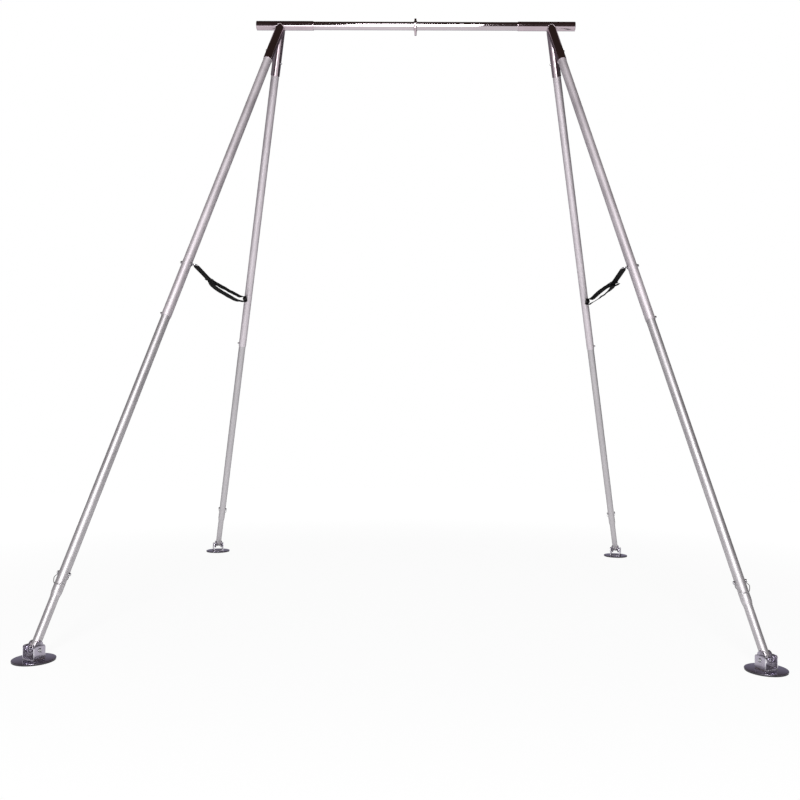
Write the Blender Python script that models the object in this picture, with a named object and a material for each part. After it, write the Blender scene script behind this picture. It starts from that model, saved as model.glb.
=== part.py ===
"""Aerial yoga frame: a crossbar on four splayed legs, with folding feet and two side straps.

Metres, +Z up. The origin is on the floor, under the middle of the crossbar. The crossbar runs
along X and the front of the stand faces -Y. Stations are measured down a leg from the
crossbar's axis.
"""

import math

import bmesh
import bpy
from mathutils import Matrix, Vector

# The stand's overall shape
BAR_HEIGHT = 2.860            # floor to the crossbar's axis
LEG_TOP_X = 0.685             # middle of the stand to the point where two legs meet the crossbar
FOOT_X = 1.278                # middle of the stand to a foot's pivot, along the crossbar
FOOT_Y = 1.2185               # middle of the stand to a foot's pivot, across the crossbar
PIVOT_HEIGHT = 0.040          # floor to a foot's pivot
BAR_HALF_LENGTH = 0.810       # middle of the stand to the outer face of an end cap

# Fits
SEAT_GAP = 0.0003             # between pieces that rest on each other
SLIDE_GAP = 0.0003            # around a tube inside another tube
HOLE_GAP = 0.0003             # around a pin, bolt or button in its hole
WELD_OVERLAP = 0.0010         # how far welded shapes run into each other
MERGE_DISTANCE = 0.000001

# Crossbar, its end caps and the hanging ring
BAR_RADIUS = 0.0200
BAR_WALL = 0.0020
CAP_FLANGE = 0.0030
CAP_PLUG_LENGTH = 0.0140
CAP_WALL = 0.0020
RING_RADIUS = 0.0405
RING_DROP = 0.0055            # the ring's middle below the crossbar's axis
RING_THICKNESS = 0.0100
RING_WELD = 0.0045
EYE_RADIUS = 0.0070
EYE_DROP = 0.0330             # the eye's middle below the crossbar's axis

# Corner connectors: a sleeve on the crossbar with two sockets for the legs
SLEEVE_INNER_X = 0.520
SLEEVE_WALL = 0.0020
SOCKET_WALL = 0.0018
SOCKET_LENGTH = 0.244         # crossbar axis to the socket's rim, along the leg
SOCKET_TAPER = 0.030          # the socket's top is drawn in over this length, into the sleeve
EDGE_CHAMFER = 0.0010

# Legs: an upper tube in its socket, a lower tube in the upper one, a foot tube in the lower one
FOOT_TUBE_RADIUS = 0.0160
FOOT_TUBE_WALL = 0.0015
FOOT_TUBE_PLAY = 0.0015       # around the foot tube, taken up by its guide and the lower tube's neck
LOWER_WALL = 0.0015
LOWER_RADIUS = FOOT_TUBE_RADIUS + FOOT_TUBE_PLAY + LOWER_WALL
UPPER_WALL = 0.0017
UPPER_RADIUS = LOWER_RADIUS + SLIDE_GAP + UPPER_WALL
UPPER_START = 0.075
UPPER_END = 1.750
LOWER_INSIDE = 0.1500         # how far the lower tube reaches into the upper tube
LOWER_START = UPPER_END - LOWER_INSIDE
FOOT_TUBE_SHOWN = 0.1887      # lower tube's end to the foot's pivot
BEAD_FROM_END = 0.0430        # the lower tube is drawn in beyond this bead, around the foot tube
BEAD_HEIGHT = 0.0007
BEAD_HALF_WIDTH = 0.0025
NECK_LENGTH = 0.0150
NECK_LIP = 0.0007
FOOT_TUBE_INSIDE = 0.3200     # how far the foot tube reaches into the lower tube
GUIDE_LENGTH = 0.0200
FOOT_TUBE_SHORT = 0.0100      # the foot tube ends this far above the pivot

# Spring buttons in the crossbar, the sockets and the legs
BUTTON_RADIUS = 0.0045
BUTTON_FLANGE = 0.0065
BUTTON_FLANGE_HEIGHT = 0.0012
BAR_BUTTON_X = 0.545
BAR_BUTTON_PROUD = 0.0050
SOCKET_BUTTON_STATION = 0.180
SOCKET_BUTTON_PROUD = 0.0050
LEG_BUTTON_STATION = UPPER_END - 0.012
LEG_BUTTON_PROUD = 0.0080
LEAF_WIDTH = 0.0100
LEAF_THICKNESS = 0.0010
LEAF_LENGTH = 0.0450
LEAF_BEND = 0.0055
LEAF_RETURN = 0.0300
LEAF_SPREAD = 0.0060

# Lock pins of the foot tubes, each with a wire bail
PIN_FROM_END = 0.0830         # the pin's middle above the lower tube's end
PIN_RADIUS = 0.0040
PIN_HEAD_RADIUS = 0.0065
PIN_HEAD_HEIGHT = 0.0030
BAIL_WIRE = 0.0013
BAIL_DROP = 0.0430
BAIL_BULGE = 0.0045
BAIL_CLEAR = 0.0008           # between the bail's bow and the bead

# Feet: a channel welded on a round plate, with a rubber pad under it
PLATE_RADIUS = 0.0730
PLATE_THICKNESS = 0.0040
PAD_RADIUS = 0.0720
PAD_THICKNESS = 0.0030
CHANNEL_WIDTH = 0.0600        # over the two uprights
CHANNEL_DEPTH = 0.0470        # along an upright
CHANNEL_TOP = 0.0560          # floor to the top of an upright
CHANNEL_WALL = 0.0030
CHANNEL_BEND = 0.0030
CHANNEL_CORNER = 0.0090
EAR_THICKNESS = 0.0055
EAR_HALF_WIDTH = 0.0145
EAR_RISE = 0.0400             # pivot to the top of an ear, along the leg
BOSS_RADIUS = 0.0090
PIVOT_RADIUS = 0.0040
PIVOT_HEAD_RADIUS = 0.0070
PIVOT_HEAD_HEIGHT = 0.0025

# Strap bolts
FRONT_STRAP_STATION = 1.478
REAR_STRAP_STATION = 1.458
KNOB_TURN = math.radians(22)  # the rear bolts turn outwards from straight ahead
BOLT_RADIUS = 0.0040
BOLT_HEAD_RADIUS = 0.0070
BOLT_HEAD_HEIGHT = 0.0050
WASHER_RADIUS = 0.0085
WASHER_HEIGHT = 0.0020        # outside of the leg to the washer's flat face
STRAP_EYE_RADIUS = 0.0110     # middle of the eye to the middle of its wire
STRAP_EYE_WIRE = 0.0025
KNOB_RADIUS = 0.0140
KNOB_HEIGHT = 0.0120
KNOB_EDGE = 0.0040
KNOB_BORE = 0.0080            # depth of the knob's blind bore

# Straps and buckles
WEBBING_WIDTH = 0.0240
WEBBING_IN_EYE = 0.0140       # the webbing is gathered in the eye
WEBBING_THICKNESS = 0.0018
WEBBING_WAIST = 0.0014        # between the two plies of a front strap
WEBBING_PLAY = 0.0005         # between the webbing and what it goes round
WEBBING_EASE = 0.0200         # length over which a bend eases into the strand
BUCKLE_X = 0.946
BUCKLE_Y = -0.290
BUCKLE_Z = 1.506
BUCKLE_LENGTH = 0.0300        # middle to middle of the bars
BUCKLE_WIDTH = 0.0330
BUCKLE_ROD = 0.0022
BUCKLE_CORNER = 0.0050
STRAP_SPREAD = 0.0350         # a strap runs outwards by this share of the way that it runs back
UPPER_STRAND = {
    "left": [(-0.200, 1.509), (-0.056, 1.5136), (0.173, 1.522), (0.428, 1.534), (0.500, 1.545)],
    "right": [(-0.162, 1.515), (0.014, 1.524), (0.173, 1.5286), (0.380, 1.531), (0.500, 1.545)],
}
LOWER_STRAND = {
    "left": [(0.490, 1.516), (0.325, 1.499), (0.175, 1.493), (0.035, 1.490), (-0.097, 1.487), (-0.220, 1.490)],
    "right": [(0.490, 1.515), (0.344, 1.507), (0.172, 1.497), (-0.017, 1.492), (-0.134, 1.488), (-0.235, 1.490)],
}
TAIL_ROUTE = [(-0.230, 1.4892), (-0.262, 1.4925), (-0.300, 1.4910), (-0.345, 1.4870), (-0.385, 1.4805),
              (-0.400, 1.4780), (-0.412, 1.4760)]
TAIL_WIDTH = 0.0220
TAIL_TIP_WIDTH = 0.0030

# Roundness
TUBE_SIDES = 16
SMALL_SIDES = 10
WIRE_SIDES = 5
PLATE_SIDES = 24
BEND_STEPS = 2
WEBBING_STEPS = 4
HALF_FACET = math.pi / TUBE_SIDES
SMOOTH_ANGLE = math.radians(40)

SIDES = {"left": -1, "right": 1}
ENDS = {"front": -1, "rear": 1}
X_AXIS = Vector((1.0, 0.0, 0.0))
Y_AXIS = Vector((0.0, 1.0, 0.0))
Z_AXIS = Vector((0.0, 0.0, 1.0))


# Scene and material helpers

def clear_scene():
    for item in list(bpy.data.objects):
        bpy.data.objects.remove(item, do_unlink=True)


def make_material(name, colour, metallic, roughness):
    material = bpy.data.materials.new(name)
    material.use_nodes = True
    shader = material.node_tree.nodes["Principled BSDF"]
    shader.inputs["Base Color"].default_value = (*colour, 1.0)
    shader.inputs["Metallic"].default_value = metallic
    shader.inputs["Roughness"].default_value = roughness
    return material


def make_materials():
    return {
        "chrome": make_material("dark_chrome", (0.42, 0.39, 0.41), 1.0, 0.08),
        "tube": make_material("satin_steel_tube", (0.68, 0.65, 0.69), 1.0, 0.28),
        "plate": make_material("foot_plate_steel", (0.40, 0.36, 0.42), 1.0, 0.30),
        "rubber": make_material("black_rubber", (0.02, 0.02, 0.02), 0.0, 0.80),
        "zinc": make_material("zinc_fastener", (0.62, 0.62, 0.63), 1.0, 0.35),
        "black": make_material("black_coated_steel", (0.02, 0.02, 0.02), 0.2, 0.45),
        "webbing": make_material("black_webbing", (0.015, 0.015, 0.016), 0.0, 0.90),
    }


def mesh_from(name, shape):
    """Turn a bmesh into a mesh with its faces pointing out, smooth where it is round."""
    bmesh.ops.recalc_face_normals(shape, faces=shape.faces)
    mesh = bpy.data.meshes.new(name)
    shape.to_mesh(mesh)
    shape.free()
    mesh.shade_smooth()
    mesh.set_sharp_from_angle(angle=SMOOTH_ANGLE)
    return mesh


def frame_matrix(origin, z_axis, x_hint):
    """A placement with its Z along z_axis and its X as near x_hint as it can be."""
    z_axis = z_axis.normalized()
    x_axis = (x_hint - z_axis * x_hint.dot(z_axis)).normalized()
    y_axis = z_axis.cross(x_axis)
    turn = Matrix((x_axis, y_axis, z_axis)).transposed()
    return Matrix.Translation(origin) @ turn.to_4x4()


def make_axis(name, origin, z_axis, x_hint):
    """An empty that carries the pieces on one axis."""
    axis = bpy.data.objects.new(name, None)
    bpy.context.scene.collection.objects.link(axis)
    axis.empty_display_size = BAR_RADIUS
    axis.matrix_world = frame_matrix(origin, z_axis, x_hint)
    return axis


def place(mesh, parent, matrix, material=None):
    """Make an object of a mesh, give it a place in the world and parent it to an axis."""
    piece = bpy.data.objects.new(mesh.name, mesh)
    bpy.context.scene.collection.objects.link(piece)
    piece.parent = parent
    piece.matrix_basis = parent.matrix_world.inverted() @ matrix
    if material:
        mesh.materials.append(material)
    return piece


def boolean(piece, tool, operation):
    """Change a piece by a tool, which isn't part of the object."""
    tool.hide_render = True
    tool.display_type = "WIRE"
    modifier = piece.modifiers.new(tool.name, "BOOLEAN")
    modifier.operation = operation
    modifier.solver = "EXACT"
    modifier.object = tool


def cut(piece, tool):
    boolean(piece, tool, "DIFFERENCE")


def join(piece, tool):
    boolean(piece, tool, "UNION")


# Shape helpers

def lathe(name, profile, sides):
    """Spin a profile of (radius, height) points about Z. One that doesn't touch Z is closed."""
    shape = bmesh.new()
    points = [shape.verts.new((radius, 0.0, height)) for radius, height in profile]
    pairs = list(zip(points, points[1:]))
    if profile[0][0] > 0.0:
        pairs.append((points[-1], points[0]))
    edges = [shape.edges.new(pair) for pair in pairs]
    bmesh.ops.spin(shape, geom=points + edges, cent=(0.0, 0.0, 0.0), axis=Z_AXIS,
                   angle=2 * math.pi, steps=sides, use_merge=True)
    bmesh.ops.remove_doubles(shape, verts=shape.verts, dist=MERGE_DISTANCE)
    return mesh_from(name, shape)


def rod_profile(radius, bottom, top, chamfer=0.0):
    if chamfer == 0.0:
        return [(0.0, bottom), (radius, bottom), (radius, top), (0.0, top)]
    return [(0.0, bottom), (radius - chamfer, bottom), (radius, bottom + chamfer),
            (radius, top - chamfer), (radius - chamfer, top), (0.0, top)]


def rod(name, radius, bottom, top, sides=SMALL_SIDES, chamfer=0.0):
    return lathe(name, rod_profile(radius, bottom, top, chamfer), sides)


def arc_points(centre, radius, start, end, steps):
    """Points of an arc in a plane, from one angle to another."""
    points = []
    for step in range(steps + 1):
        angle = start + (end - start) * step / steps
        points.append((centre[0] + radius * math.cos(angle), centre[1] + radius * math.sin(angle)))
    return points


def dome_points(radius, base, height):
    """Profile points of a low dome, from its rim to its top."""
    points = []
    for step in range(BEND_STEPS):
        angle = math.pi / 2 * step / BEND_STEPS
        points.append((radius * math.cos(angle), base + height * math.sin(angle)))
    return points + [(0.0, base + height)]


def torus(name, radius, wire_radius, sides):
    return lathe(name, arc_points((radius, 0.0), wire_radius, 0.0, 2 * math.pi, WIRE_SIDES)[:-1], sides)


def extrude_outline(name, outline, bottom, top):
    """A closed outline in XY, extruded along Z."""
    shape = bmesh.new()
    face = shape.faces.new([shape.verts.new((x, y, bottom)) for x, y in outline])
    pushed = bmesh.ops.extrude_face_region(shape, geom=[face])
    raised = [item for item in pushed["geom"] if isinstance(item, bmesh.types.BMVert)]
    bmesh.ops.translate(shape, verts=raised, vec=(0.0, 0.0, top - bottom))
    return mesh_from(name, shape)


def smooth_route(points, steps):
    """A smooth curve through the given points, as a list of points."""
    padded = [points[0] * 2 - points[1]] + points + [points[-1] * 2 - points[-2]]
    route = []
    for index in range(1, len(padded) - 2):
        before, start, end, after = padded[index - 1:index + 3]
        for step in range(steps):
            t = step / steps
            route.append(0.5 * (2 * start + (end - before) * t
                                + (2 * before - 5 * start + 4 * end - after) * t * t
                                + (3 * start - before - 3 * end + after) * t * t * t))
    route.append(points[-1])
    return route


def loft(name, sections, closed):
    """Skin a row of cross-sections, and cap its ends unless it closes on itself."""
    shape = bmesh.new()
    rings = [[shape.verts.new(corner) for corner in section] for section in sections]
    following = rings[1:] + rings[:1] if closed else rings[1:]
    for ring, after in zip(rings, following):
        for index in range(len(ring)):
            shape.faces.new((ring[index - 1], ring[index], after[index], after[index - 1]))
    if not closed:
        shape.faces.new(rings[0])
        shape.faces.new(rings[-1])
    return mesh_from(name, shape)


def directions(route, closed):
    """The direction of travel at each point of a route."""
    count = len(route)
    result = []
    for index in range(count):
        before = route[index - 1] if closed or index > 0 else route[0]
        after = route[(index + 1) % count] if closed or index < count - 1 else route[-1]
        result.append((after - before).normalized())
    return result


def wire(name, route, radius, closed):
    """A round wire along a route, its cross-sections carried on without a twist."""
    sections = []
    side = (route[1] - route[0]).orthogonal().normalized()
    for point, along in zip(route, directions(route, closed)):
        side = (side - along * side.dot(along)).normalized()
        up = along.cross(side)
        section = []
        for across, rise in arc_points((0.0, 0.0), radius, 0.0, 2 * math.pi, WIRE_SIDES)[:-1]:
            section.append(point + side * across + up * rise)
        sections.append(section)
    return loft(name, sections, closed)


def ribbon(name, route, across, widths, closed):
    """A flat webbing along a route, with its width direction and width at each point."""
    sections = []
    for point, along, side, width in zip(route, directions(route, closed), across, widths):
        side = (side - along * side.dot(along)).normalized()
        half = side * width / 2
        rise = along.cross(side) * WEBBING_THICKNESS / 2
        sections.append([point - half - rise, point + half - rise, point + half + rise, point - half + rise])
    return loft(name, sections, closed)


# Legs

class Leg:
    """One leg's axis, and the directions that its fittings are set by."""

    def __init__(self, end_name, side_name):
        self.name = end_name + "_" + side_name
        self.is_front = end_name == "front"
        self.side = SIDES[side_name]
        self.top = Vector((self.side * LEG_TOP_X, 0.0, BAR_HEIGHT))
        self.pivot = Vector((self.side * FOOT_X, ENDS[end_name] * FOOT_Y, PIVOT_HEIGHT))
        self.length = (self.pivot - self.top).length
        self.lower_end = self.length - FOOT_TUBE_SHOWN
        self.pin_station = self.lower_end - PIN_FROM_END
        self.up = (self.top - self.pivot).normalized()
        self.splay = (self.pivot - self.top)
        self.splay.z = 0.0
        self.splay.normalize()
        self.pivot_axis = Z_AXIS.cross(self.splay)
        self.outward = self.square_to(X_AXIS * self.side)
        facet_turn = 0.0 if self.is_front else HALF_FACET
        self.facet_edge = self.outward * math.cos(facet_turn) + self.up.cross(self.outward) * math.sin(facet_turn)
        self.upper_face = self.square_to(self.splay)
        self.axis = make_axis("leg_axis_" + self.name, self.top, self.up, self.outward)
        self.foot_axis = make_axis("foot_axis_" + self.name, self.pivot, Z_AXIS, self.splay)

    def square_to(self, direction):
        """The part of a direction that is square to the leg."""
        return (direction - self.up * direction.dot(self.up)).normalized()

    def at(self, station):
        return self.top - self.up * station

    def along(self, mesh, material=None):
        """Stand a piece, built along Z from the crossbar's axis, on the leg's axis."""
        return place(mesh, self.axis, frame_matrix(self.top, self.up, self.facet_edge), material)

    def across(self, mesh, station, direction, material=None):
        """Lay a piece, built along Z, across the leg's axis."""
        return place(mesh, self.axis, frame_matrix(self.at(station), direction, self.up), material)

    def on_foot(self, mesh, material=None):
        """Stand a piece, built along Z from the floor, under the foot's pivot."""
        ground = Vector((self.pivot.x, self.pivot.y, 0.0))
        return place(mesh, self.foot_axis, frame_matrix(ground, Z_AXIS, self.splay), material)

    def cross_hole(self, piece, station, direction, radius, start, end):
        tool = rod("hole_%d_%s" % (len(piece.modifiers), piece.name), radius + HOLE_GAP, start, end)
        cut(piece, self.across(tool, station, direction))

    def socket_button_direction(self):
        """The socket buttons face outwards on the front legs and inwards on the rear ones."""
        return self.outward if self.is_front else -self.outward

    def strap_station(self):
        return FRONT_STRAP_STATION if self.is_front else REAR_STRAP_STATION

    def strap_direction(self):
        """From the leg's axis to the eye or the knob that holds the strap."""
        if self.is_front:
            return -self.outward
        return self.square_to(Vector((self.side * math.sin(KNOB_TURN), -math.cos(KNOB_TURN), 0.0)))


# Crossbar group

class Bar:
    """The crossbar's axis. A flat facet faces down, where the two sockets meet the sleeve."""

    def __init__(self):
        self.facet_edge = Z_AXIS * math.cos(HALF_FACET) + Y_AXIS * math.sin(HALF_FACET)
        self.axis = make_axis("crossbar_axis", Vector((0.0, 0.0, BAR_HEIGHT)), X_AXIS, Z_AXIS)

    def along(self, mesh, material=None, x=0.0, towards=1, drop=0.0):
        """Lay a piece, built along Z, on the crossbar or below it."""
        origin = Vector((x, 0.0, BAR_HEIGHT - drop))
        return place(mesh, self.axis, frame_matrix(origin, X_AXIS * towards, self.facet_edge), material)

    def button_hole(self, piece, side_name):
        """The crossbar's buttons face the back of the stand."""
        origin = Vector((SIDES[side_name] * BAR_BUTTON_X, 0.0, BAR_HEIGHT))
        hole = rod("bar_hole_" + side_name + piece.name, BUTTON_RADIUS + HOLE_GAP, 0.0, 2 * BAR_RADIUS)
        cut(piece, place(hole, self.axis, frame_matrix(origin, Y_AXIS, Z_AXIS)))


def make_crossbar(bar, materials):
    end = BAR_HALF_LENGTH - CAP_FLANGE - CAP_PLUG_LENGTH - SEAT_GAP
    inside = BAR_RADIUS - BAR_WALL
    profile = [(inside, -end), (BAR_RADIUS, -end), (BAR_RADIUS, end), (inside, end)]
    crossbar = bar.along(lathe("crossbar", profile, TUBE_SIDES), materials["tube"])
    for side_name in SIDES:
        bar.button_hole(crossbar, side_name)
    return crossbar


def make_hanging_ring(bar, materials):
    """A round plate welded on the crossbar, with an eye under the bar for a carabiner."""
    half = RING_THICKNESS / 2
    seat = BAR_RADIUS + SEAT_GAP
    reach = half + 2 * RING_WELD
    ring = bar.along(rod("hanging_ring", RING_RADIUS, -half, half, PLATE_SIDES, EDGE_CHAMFER),
                     materials["chrome"], drop=RING_DROP)
    weld = [(0.0, -half - RING_WELD), (seat + WELD_OVERLAP, -half - RING_WELD), (seat + RING_WELD, -half),
            (seat + RING_WELD, half), (seat + WELD_OVERLAP, half + RING_WELD), (0.0, half + RING_WELD)]
    join(ring, bar.along(lathe("ring_weld", weld, TUBE_SIDES)))
    cut(ring, bar.along(rod("ring_bore", seat, -reach, reach, TUBE_SIDES)))
    cut(ring, bar.along(rod("ring_eye", EYE_RADIUS, -reach, reach, TUBE_SIDES), drop=EYE_DROP))
    return ring


def make_connector(bar, side_name, legs, materials):
    """A sleeve on the crossbar with two coped sockets, bored for the upper legs."""
    side = SIDES[side_name]
    bore = UPPER_RADIUS + SLIDE_GAP
    outside = bore + SOCKET_WALL
    sleeve_bore = BAR_RADIUS + SLIDE_GAP
    sleeve_outside = sleeve_bore + SLEEVE_WALL
    sleeve_length = BAR_HALF_LENGTH - CAP_FLANGE - SEAT_GAP - SLEEVE_INNER_X
    profile = [(0.0, -SOCKET_LENGTH), (outside - EDGE_CHAMFER, -SOCKET_LENGTH),
               (outside, -SOCKET_LENGTH + EDGE_CHAMFER), (outside, -SOCKET_TAPER),
               (sleeve_bore, 0.0), (0.0, 0.0)]
    connector = legs[0].along(lathe("corner_connector_" + side_name, profile, TUBE_SIDES), materials["chrome"])
    join(connector, legs[1].along(lathe("socket_" + side_name, profile, TUBE_SIDES)))
    for leg in legs:
        tool = rod("socket_bore_" + leg.name, bore, -SOCKET_LENGTH - outside, outside / 2, TUBE_SIDES)
        cut(connector, leg.along(tool))
    sleeve = rod("sleeve_" + side_name, sleeve_outside, 0.0, sleeve_length, TUBE_SIDES, EDGE_CHAMFER)
    join(connector, bar.along(sleeve, x=side * SLEEVE_INNER_X, towards=side))
    tool = rod("sleeve_bore_" + side_name, sleeve_bore, -outside, sleeve_length + outside, TUBE_SIDES)
    cut(connector, bar.along(tool, x=side * SLEEVE_INNER_X, towards=side))
    bar.button_hole(connector, side_name)
    for leg in legs:
        leg.cross_hole(connector, SOCKET_BUTTON_STATION, leg.socket_button_direction(),
                       BUTTON_RADIUS, 0.0, 2 * outside)
    # The coped edges inside the sleeve are too thin for the exact solver.
    for modifier in connector.modifiers:
        modifier.solver = "MANIFOLD"
    return connector


def make_end_cap(bar, side_name, materials):
    """A flange over the sleeve's end, with a hollow plug inside the sleeve."""
    side = SIDES[side_name]
    plug = BAR_RADIUS + SLIDE_GAP - SEAT_GAP
    flange = BAR_RADIUS + SLIDE_GAP + SLEEVE_WALL
    profile = [(0.0, CAP_FLANGE), (flange - EDGE_CHAMFER, CAP_FLANGE), (flange, CAP_FLANGE - EDGE_CHAMFER),
               (flange, 0.0), (plug, 0.0), (plug, -CAP_PLUG_LENGTH), (plug - CAP_WALL, -CAP_PLUG_LENGTH),
               (plug - CAP_WALL, CAP_FLANGE - CAP_WALL), (0.0, CAP_FLANGE - CAP_WALL)]
    return bar.along(lathe("end_cap_" + side_name, profile, TUBE_SIDES), materials["chrome"],
                     x=side * (BAR_HALF_LENGTH - CAP_FLANGE), towards=side)


# Leg tubes

def make_upper_leg(leg, materials):
    inside = UPPER_RADIUS - UPPER_WALL
    profile = [(inside, -UPPER_END), (UPPER_RADIUS, -UPPER_END), (UPPER_RADIUS, -UPPER_START), (inside, -UPPER_START)]
    tube = leg.along(lathe("upper_leg_" + leg.name, profile, TUBE_SIDES), materials["tube"])
    reach = 2 * UPPER_RADIUS
    leg.cross_hole(tube, SOCKET_BUTTON_STATION, leg.socket_button_direction(), BUTTON_RADIUS, 0.0, reach)
    leg.cross_hole(tube, LEG_BUTTON_STATION, leg.outward, BUTTON_RADIUS, 0.0, reach)
    leg.cross_hole(tube, leg.strap_station(), leg.strap_direction(), BOLT_RADIUS, -reach, reach)
    return tube


def make_lower_leg(leg, materials):
    """The lower tube, with a bead and a drawn-in end that guides the foot tube."""
    bore = LOWER_RADIUS - LOWER_WALL
    neck = FOOT_TUBE_RADIUS + SLIDE_GAP
    end = leg.lower_end
    bead = end - BEAD_FROM_END
    neck_start = bead + BEAD_HALF_WIDTH
    profile = [(bore, -LOWER_START), (LOWER_RADIUS, -LOWER_START),
               (LOWER_RADIUS, -bead + BEAD_HALF_WIDTH), (LOWER_RADIUS + BEAD_HEIGHT, -bead),
               (LOWER_RADIUS, -neck_start), (LOWER_RADIUS, -end + NECK_LENGTH), (neck + NECK_LIP, -end),
               (neck, -end), (neck, -neck_start - bore + neck), (bore, -neck_start)]
    tube = leg.along(lathe("lower_leg_" + leg.name, profile, TUBE_SIDES), materials["tube"])
    reach = 2 * LOWER_RADIUS
    leg.cross_hole(tube, LEG_BUTTON_STATION, leg.outward, BUTTON_RADIUS, 0.0, reach)
    leg.cross_hole(tube, leg.pin_station, leg.outward, PIN_RADIUS, -reach, reach)
    return tube


def make_foot_tube(leg, materials):
    """The tube that slides in the lower leg, with two welded ears for the foot's pivot."""
    bore = FOOT_TUBE_RADIUS - FOOT_TUBE_WALL
    guide = LOWER_RADIUS - LOWER_WALL - SLIDE_GAP
    start = leg.lower_end - FOOT_TUBE_INSIDE
    guide_end = start + GUIDE_LENGTH
    end = leg.length - FOOT_TUBE_SHORT
    profile = [(bore, -end), (FOOT_TUBE_RADIUS, -end), (FOOT_TUBE_RADIUS, -guide_end - guide + FOOT_TUBE_RADIUS),
               (guide, -guide_end), (guide, -start), (bore, -start)]
    tube = leg.along(lathe("foot_tube_" + leg.name, profile, TUBE_SIDES), materials["tube"])
    ear_inside = FOOT_TUBE_RADIUS - WELD_OVERLAP
    ear_outside = ear_inside + EAR_THICKNESS
    boss_outside = CHANNEL_WIDTH / 2 - CHANNEL_WALL - SEAT_GAP
    outline = arc_points((0.0, 0.0), EAR_HALF_WIDTH, math.pi, 2 * math.pi, 2 * BEND_STEPS)
    outline += arc_points((0.0, EAR_RISE - EAR_HALF_WIDTH), EAR_HALF_WIDTH, 0.0, math.pi, 2 * BEND_STEPS)
    for way, label in ((-1, "a_"), (1, "b_")):
        axis = leg.pivot_axis * way
        matrix = frame_matrix(leg.pivot, axis, leg.up.cross(axis))
        ear = extrude_outline("ear_" + label + leg.name, outline, ear_inside, ear_outside)
        join(tube, place(ear, leg.axis, matrix))
        boss = rod("boss_" + label + leg.name, BOSS_RADIUS, ear_outside - WELD_OVERLAP, boss_outside)
        join(tube, place(boss, leg.axis, matrix))
    hole = rod("pivot_hole_" + leg.name, PIVOT_RADIUS + HOLE_GAP, -CHANNEL_WIDTH, CHANNEL_WIDTH)
    cut(tube, place(hole, leg.axis, frame_matrix(leg.pivot, leg.pivot_axis, leg.up)))
    leg.cross_hole(tube, leg.pin_station, leg.outward, PIN_RADIUS, -LOWER_RADIUS, LOWER_RADIUS)
    return tube


# Locks

def leaf_outline(seat):
    """The bent leaf spring behind a button, seen from its side: x is outwards, y is up the tube."""
    inner = seat - LEAF_THICKNESS
    bend = (inner - LEAF_BEND, LEAF_LENGTH - LEAF_BEND)
    far = bend[0] - LEAF_BEND - LEAF_SPREAD
    tip = bend[1] - LEAF_RETURN
    outside = arc_points(bend, LEAF_BEND + LEAF_THICKNESS, 0.0, math.pi, 2 * BEND_STEPS)
    inside = arc_points(bend, LEAF_BEND, math.pi, 0.0, 2 * BEND_STEPS)
    return ([(seat, -BUTTON_FLANGE)] + outside + [(far - LEAF_THICKNESS, tip), (far, tip)]
            + inside + [(inner, -BUTTON_FLANGE)])


def make_spring_button(name, axis, origin, direction, up, bore, proud_to, materials):
    """A domed button on its flange inside a tube, with the leaf spring that pushes it out."""
    flange_top = math.sqrt(bore ** 2 - BUTTON_FLANGE ** 2) - SEAT_GAP
    seat = flange_top - BUTTON_FLANGE_HEIGHT
    dome = BUTTON_RADIUS / 2
    profile = [(0.0, seat - LEAF_THICKNESS / 2), (BUTTON_FLANGE, seat - LEAF_THICKNESS / 2),
               (BUTTON_FLANGE, flange_top), (BUTTON_RADIUS, flange_top)]
    profile += dome_points(BUTTON_RADIUS, proud_to - dome, dome)
    button = place(lathe(name, profile, SMALL_SIDES), axis, frame_matrix(origin, direction, up),
                   materials["zinc"])
    leaf = extrude_outline("leaf_" + name, leaf_outline(seat), -LEAF_WIDTH / 2, LEAF_WIDTH / 2)
    join(button, place(leaf, axis, frame_matrix(origin, direction.cross(up), direction)))
    return button


def make_bar_button(bar, side_name, materials):
    side = SIDES[side_name]
    origin = Vector((side * BAR_BUTTON_X, 0.0, BAR_HEIGHT))
    proud_to = BAR_RADIUS + SLIDE_GAP + SLEEVE_WALL + BAR_BUTTON_PROUD
    return make_spring_button("crossbar_button_" + side_name, bar.axis, origin, Y_AXIS, X_AXIS * -side,
                              BAR_RADIUS - BAR_WALL, proud_to, materials)


def make_socket_button(leg, materials):
    proud_to = UPPER_RADIUS + SLIDE_GAP + SOCKET_WALL + SOCKET_BUTTON_PROUD
    return make_spring_button("socket_button_" + leg.name, leg.axis, leg.at(SOCKET_BUTTON_STATION),
                              leg.socket_button_direction(), leg.up, UPPER_RADIUS - UPPER_WALL,
                              proud_to, materials)


def make_leg_button(leg, materials):
    return make_spring_button("leg_button_" + leg.name, leg.axis, leg.at(LEG_BUTTON_STATION),
                              leg.outward, leg.up, LOWER_RADIUS - LOWER_WALL,
                              UPPER_RADIUS + LEG_BUTTON_PROUD, materials)


def bail_seat():
    """Leg axis to the middle of a bail's eye, along the pin."""
    return LOWER_RADIUS + BAIL_WIRE + 2 * SEAT_GAP


def make_lock_pin(leg, materials):
    """A turned pin through the lower leg and the foot tube, with a head beyond each bail eye."""
    shoulder = bail_seat() + BAIL_WIRE + SEAT_GAP
    top = shoulder + PIN_HEAD_HEIGHT
    upper = [(PIN_RADIUS, shoulder), (PIN_HEAD_RADIUS, shoulder), (PIN_HEAD_RADIUS - EDGE_CHAMFER, top),
             (0.0, top)]
    lower = [(radius, -height) for radius, height in reversed(upper)]
    return leg.across(lathe("lock_pin_" + leg.name, lower + upper, SMALL_SIDES), leg.pin_station,
                      leg.outward, materials["zinc"])


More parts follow.
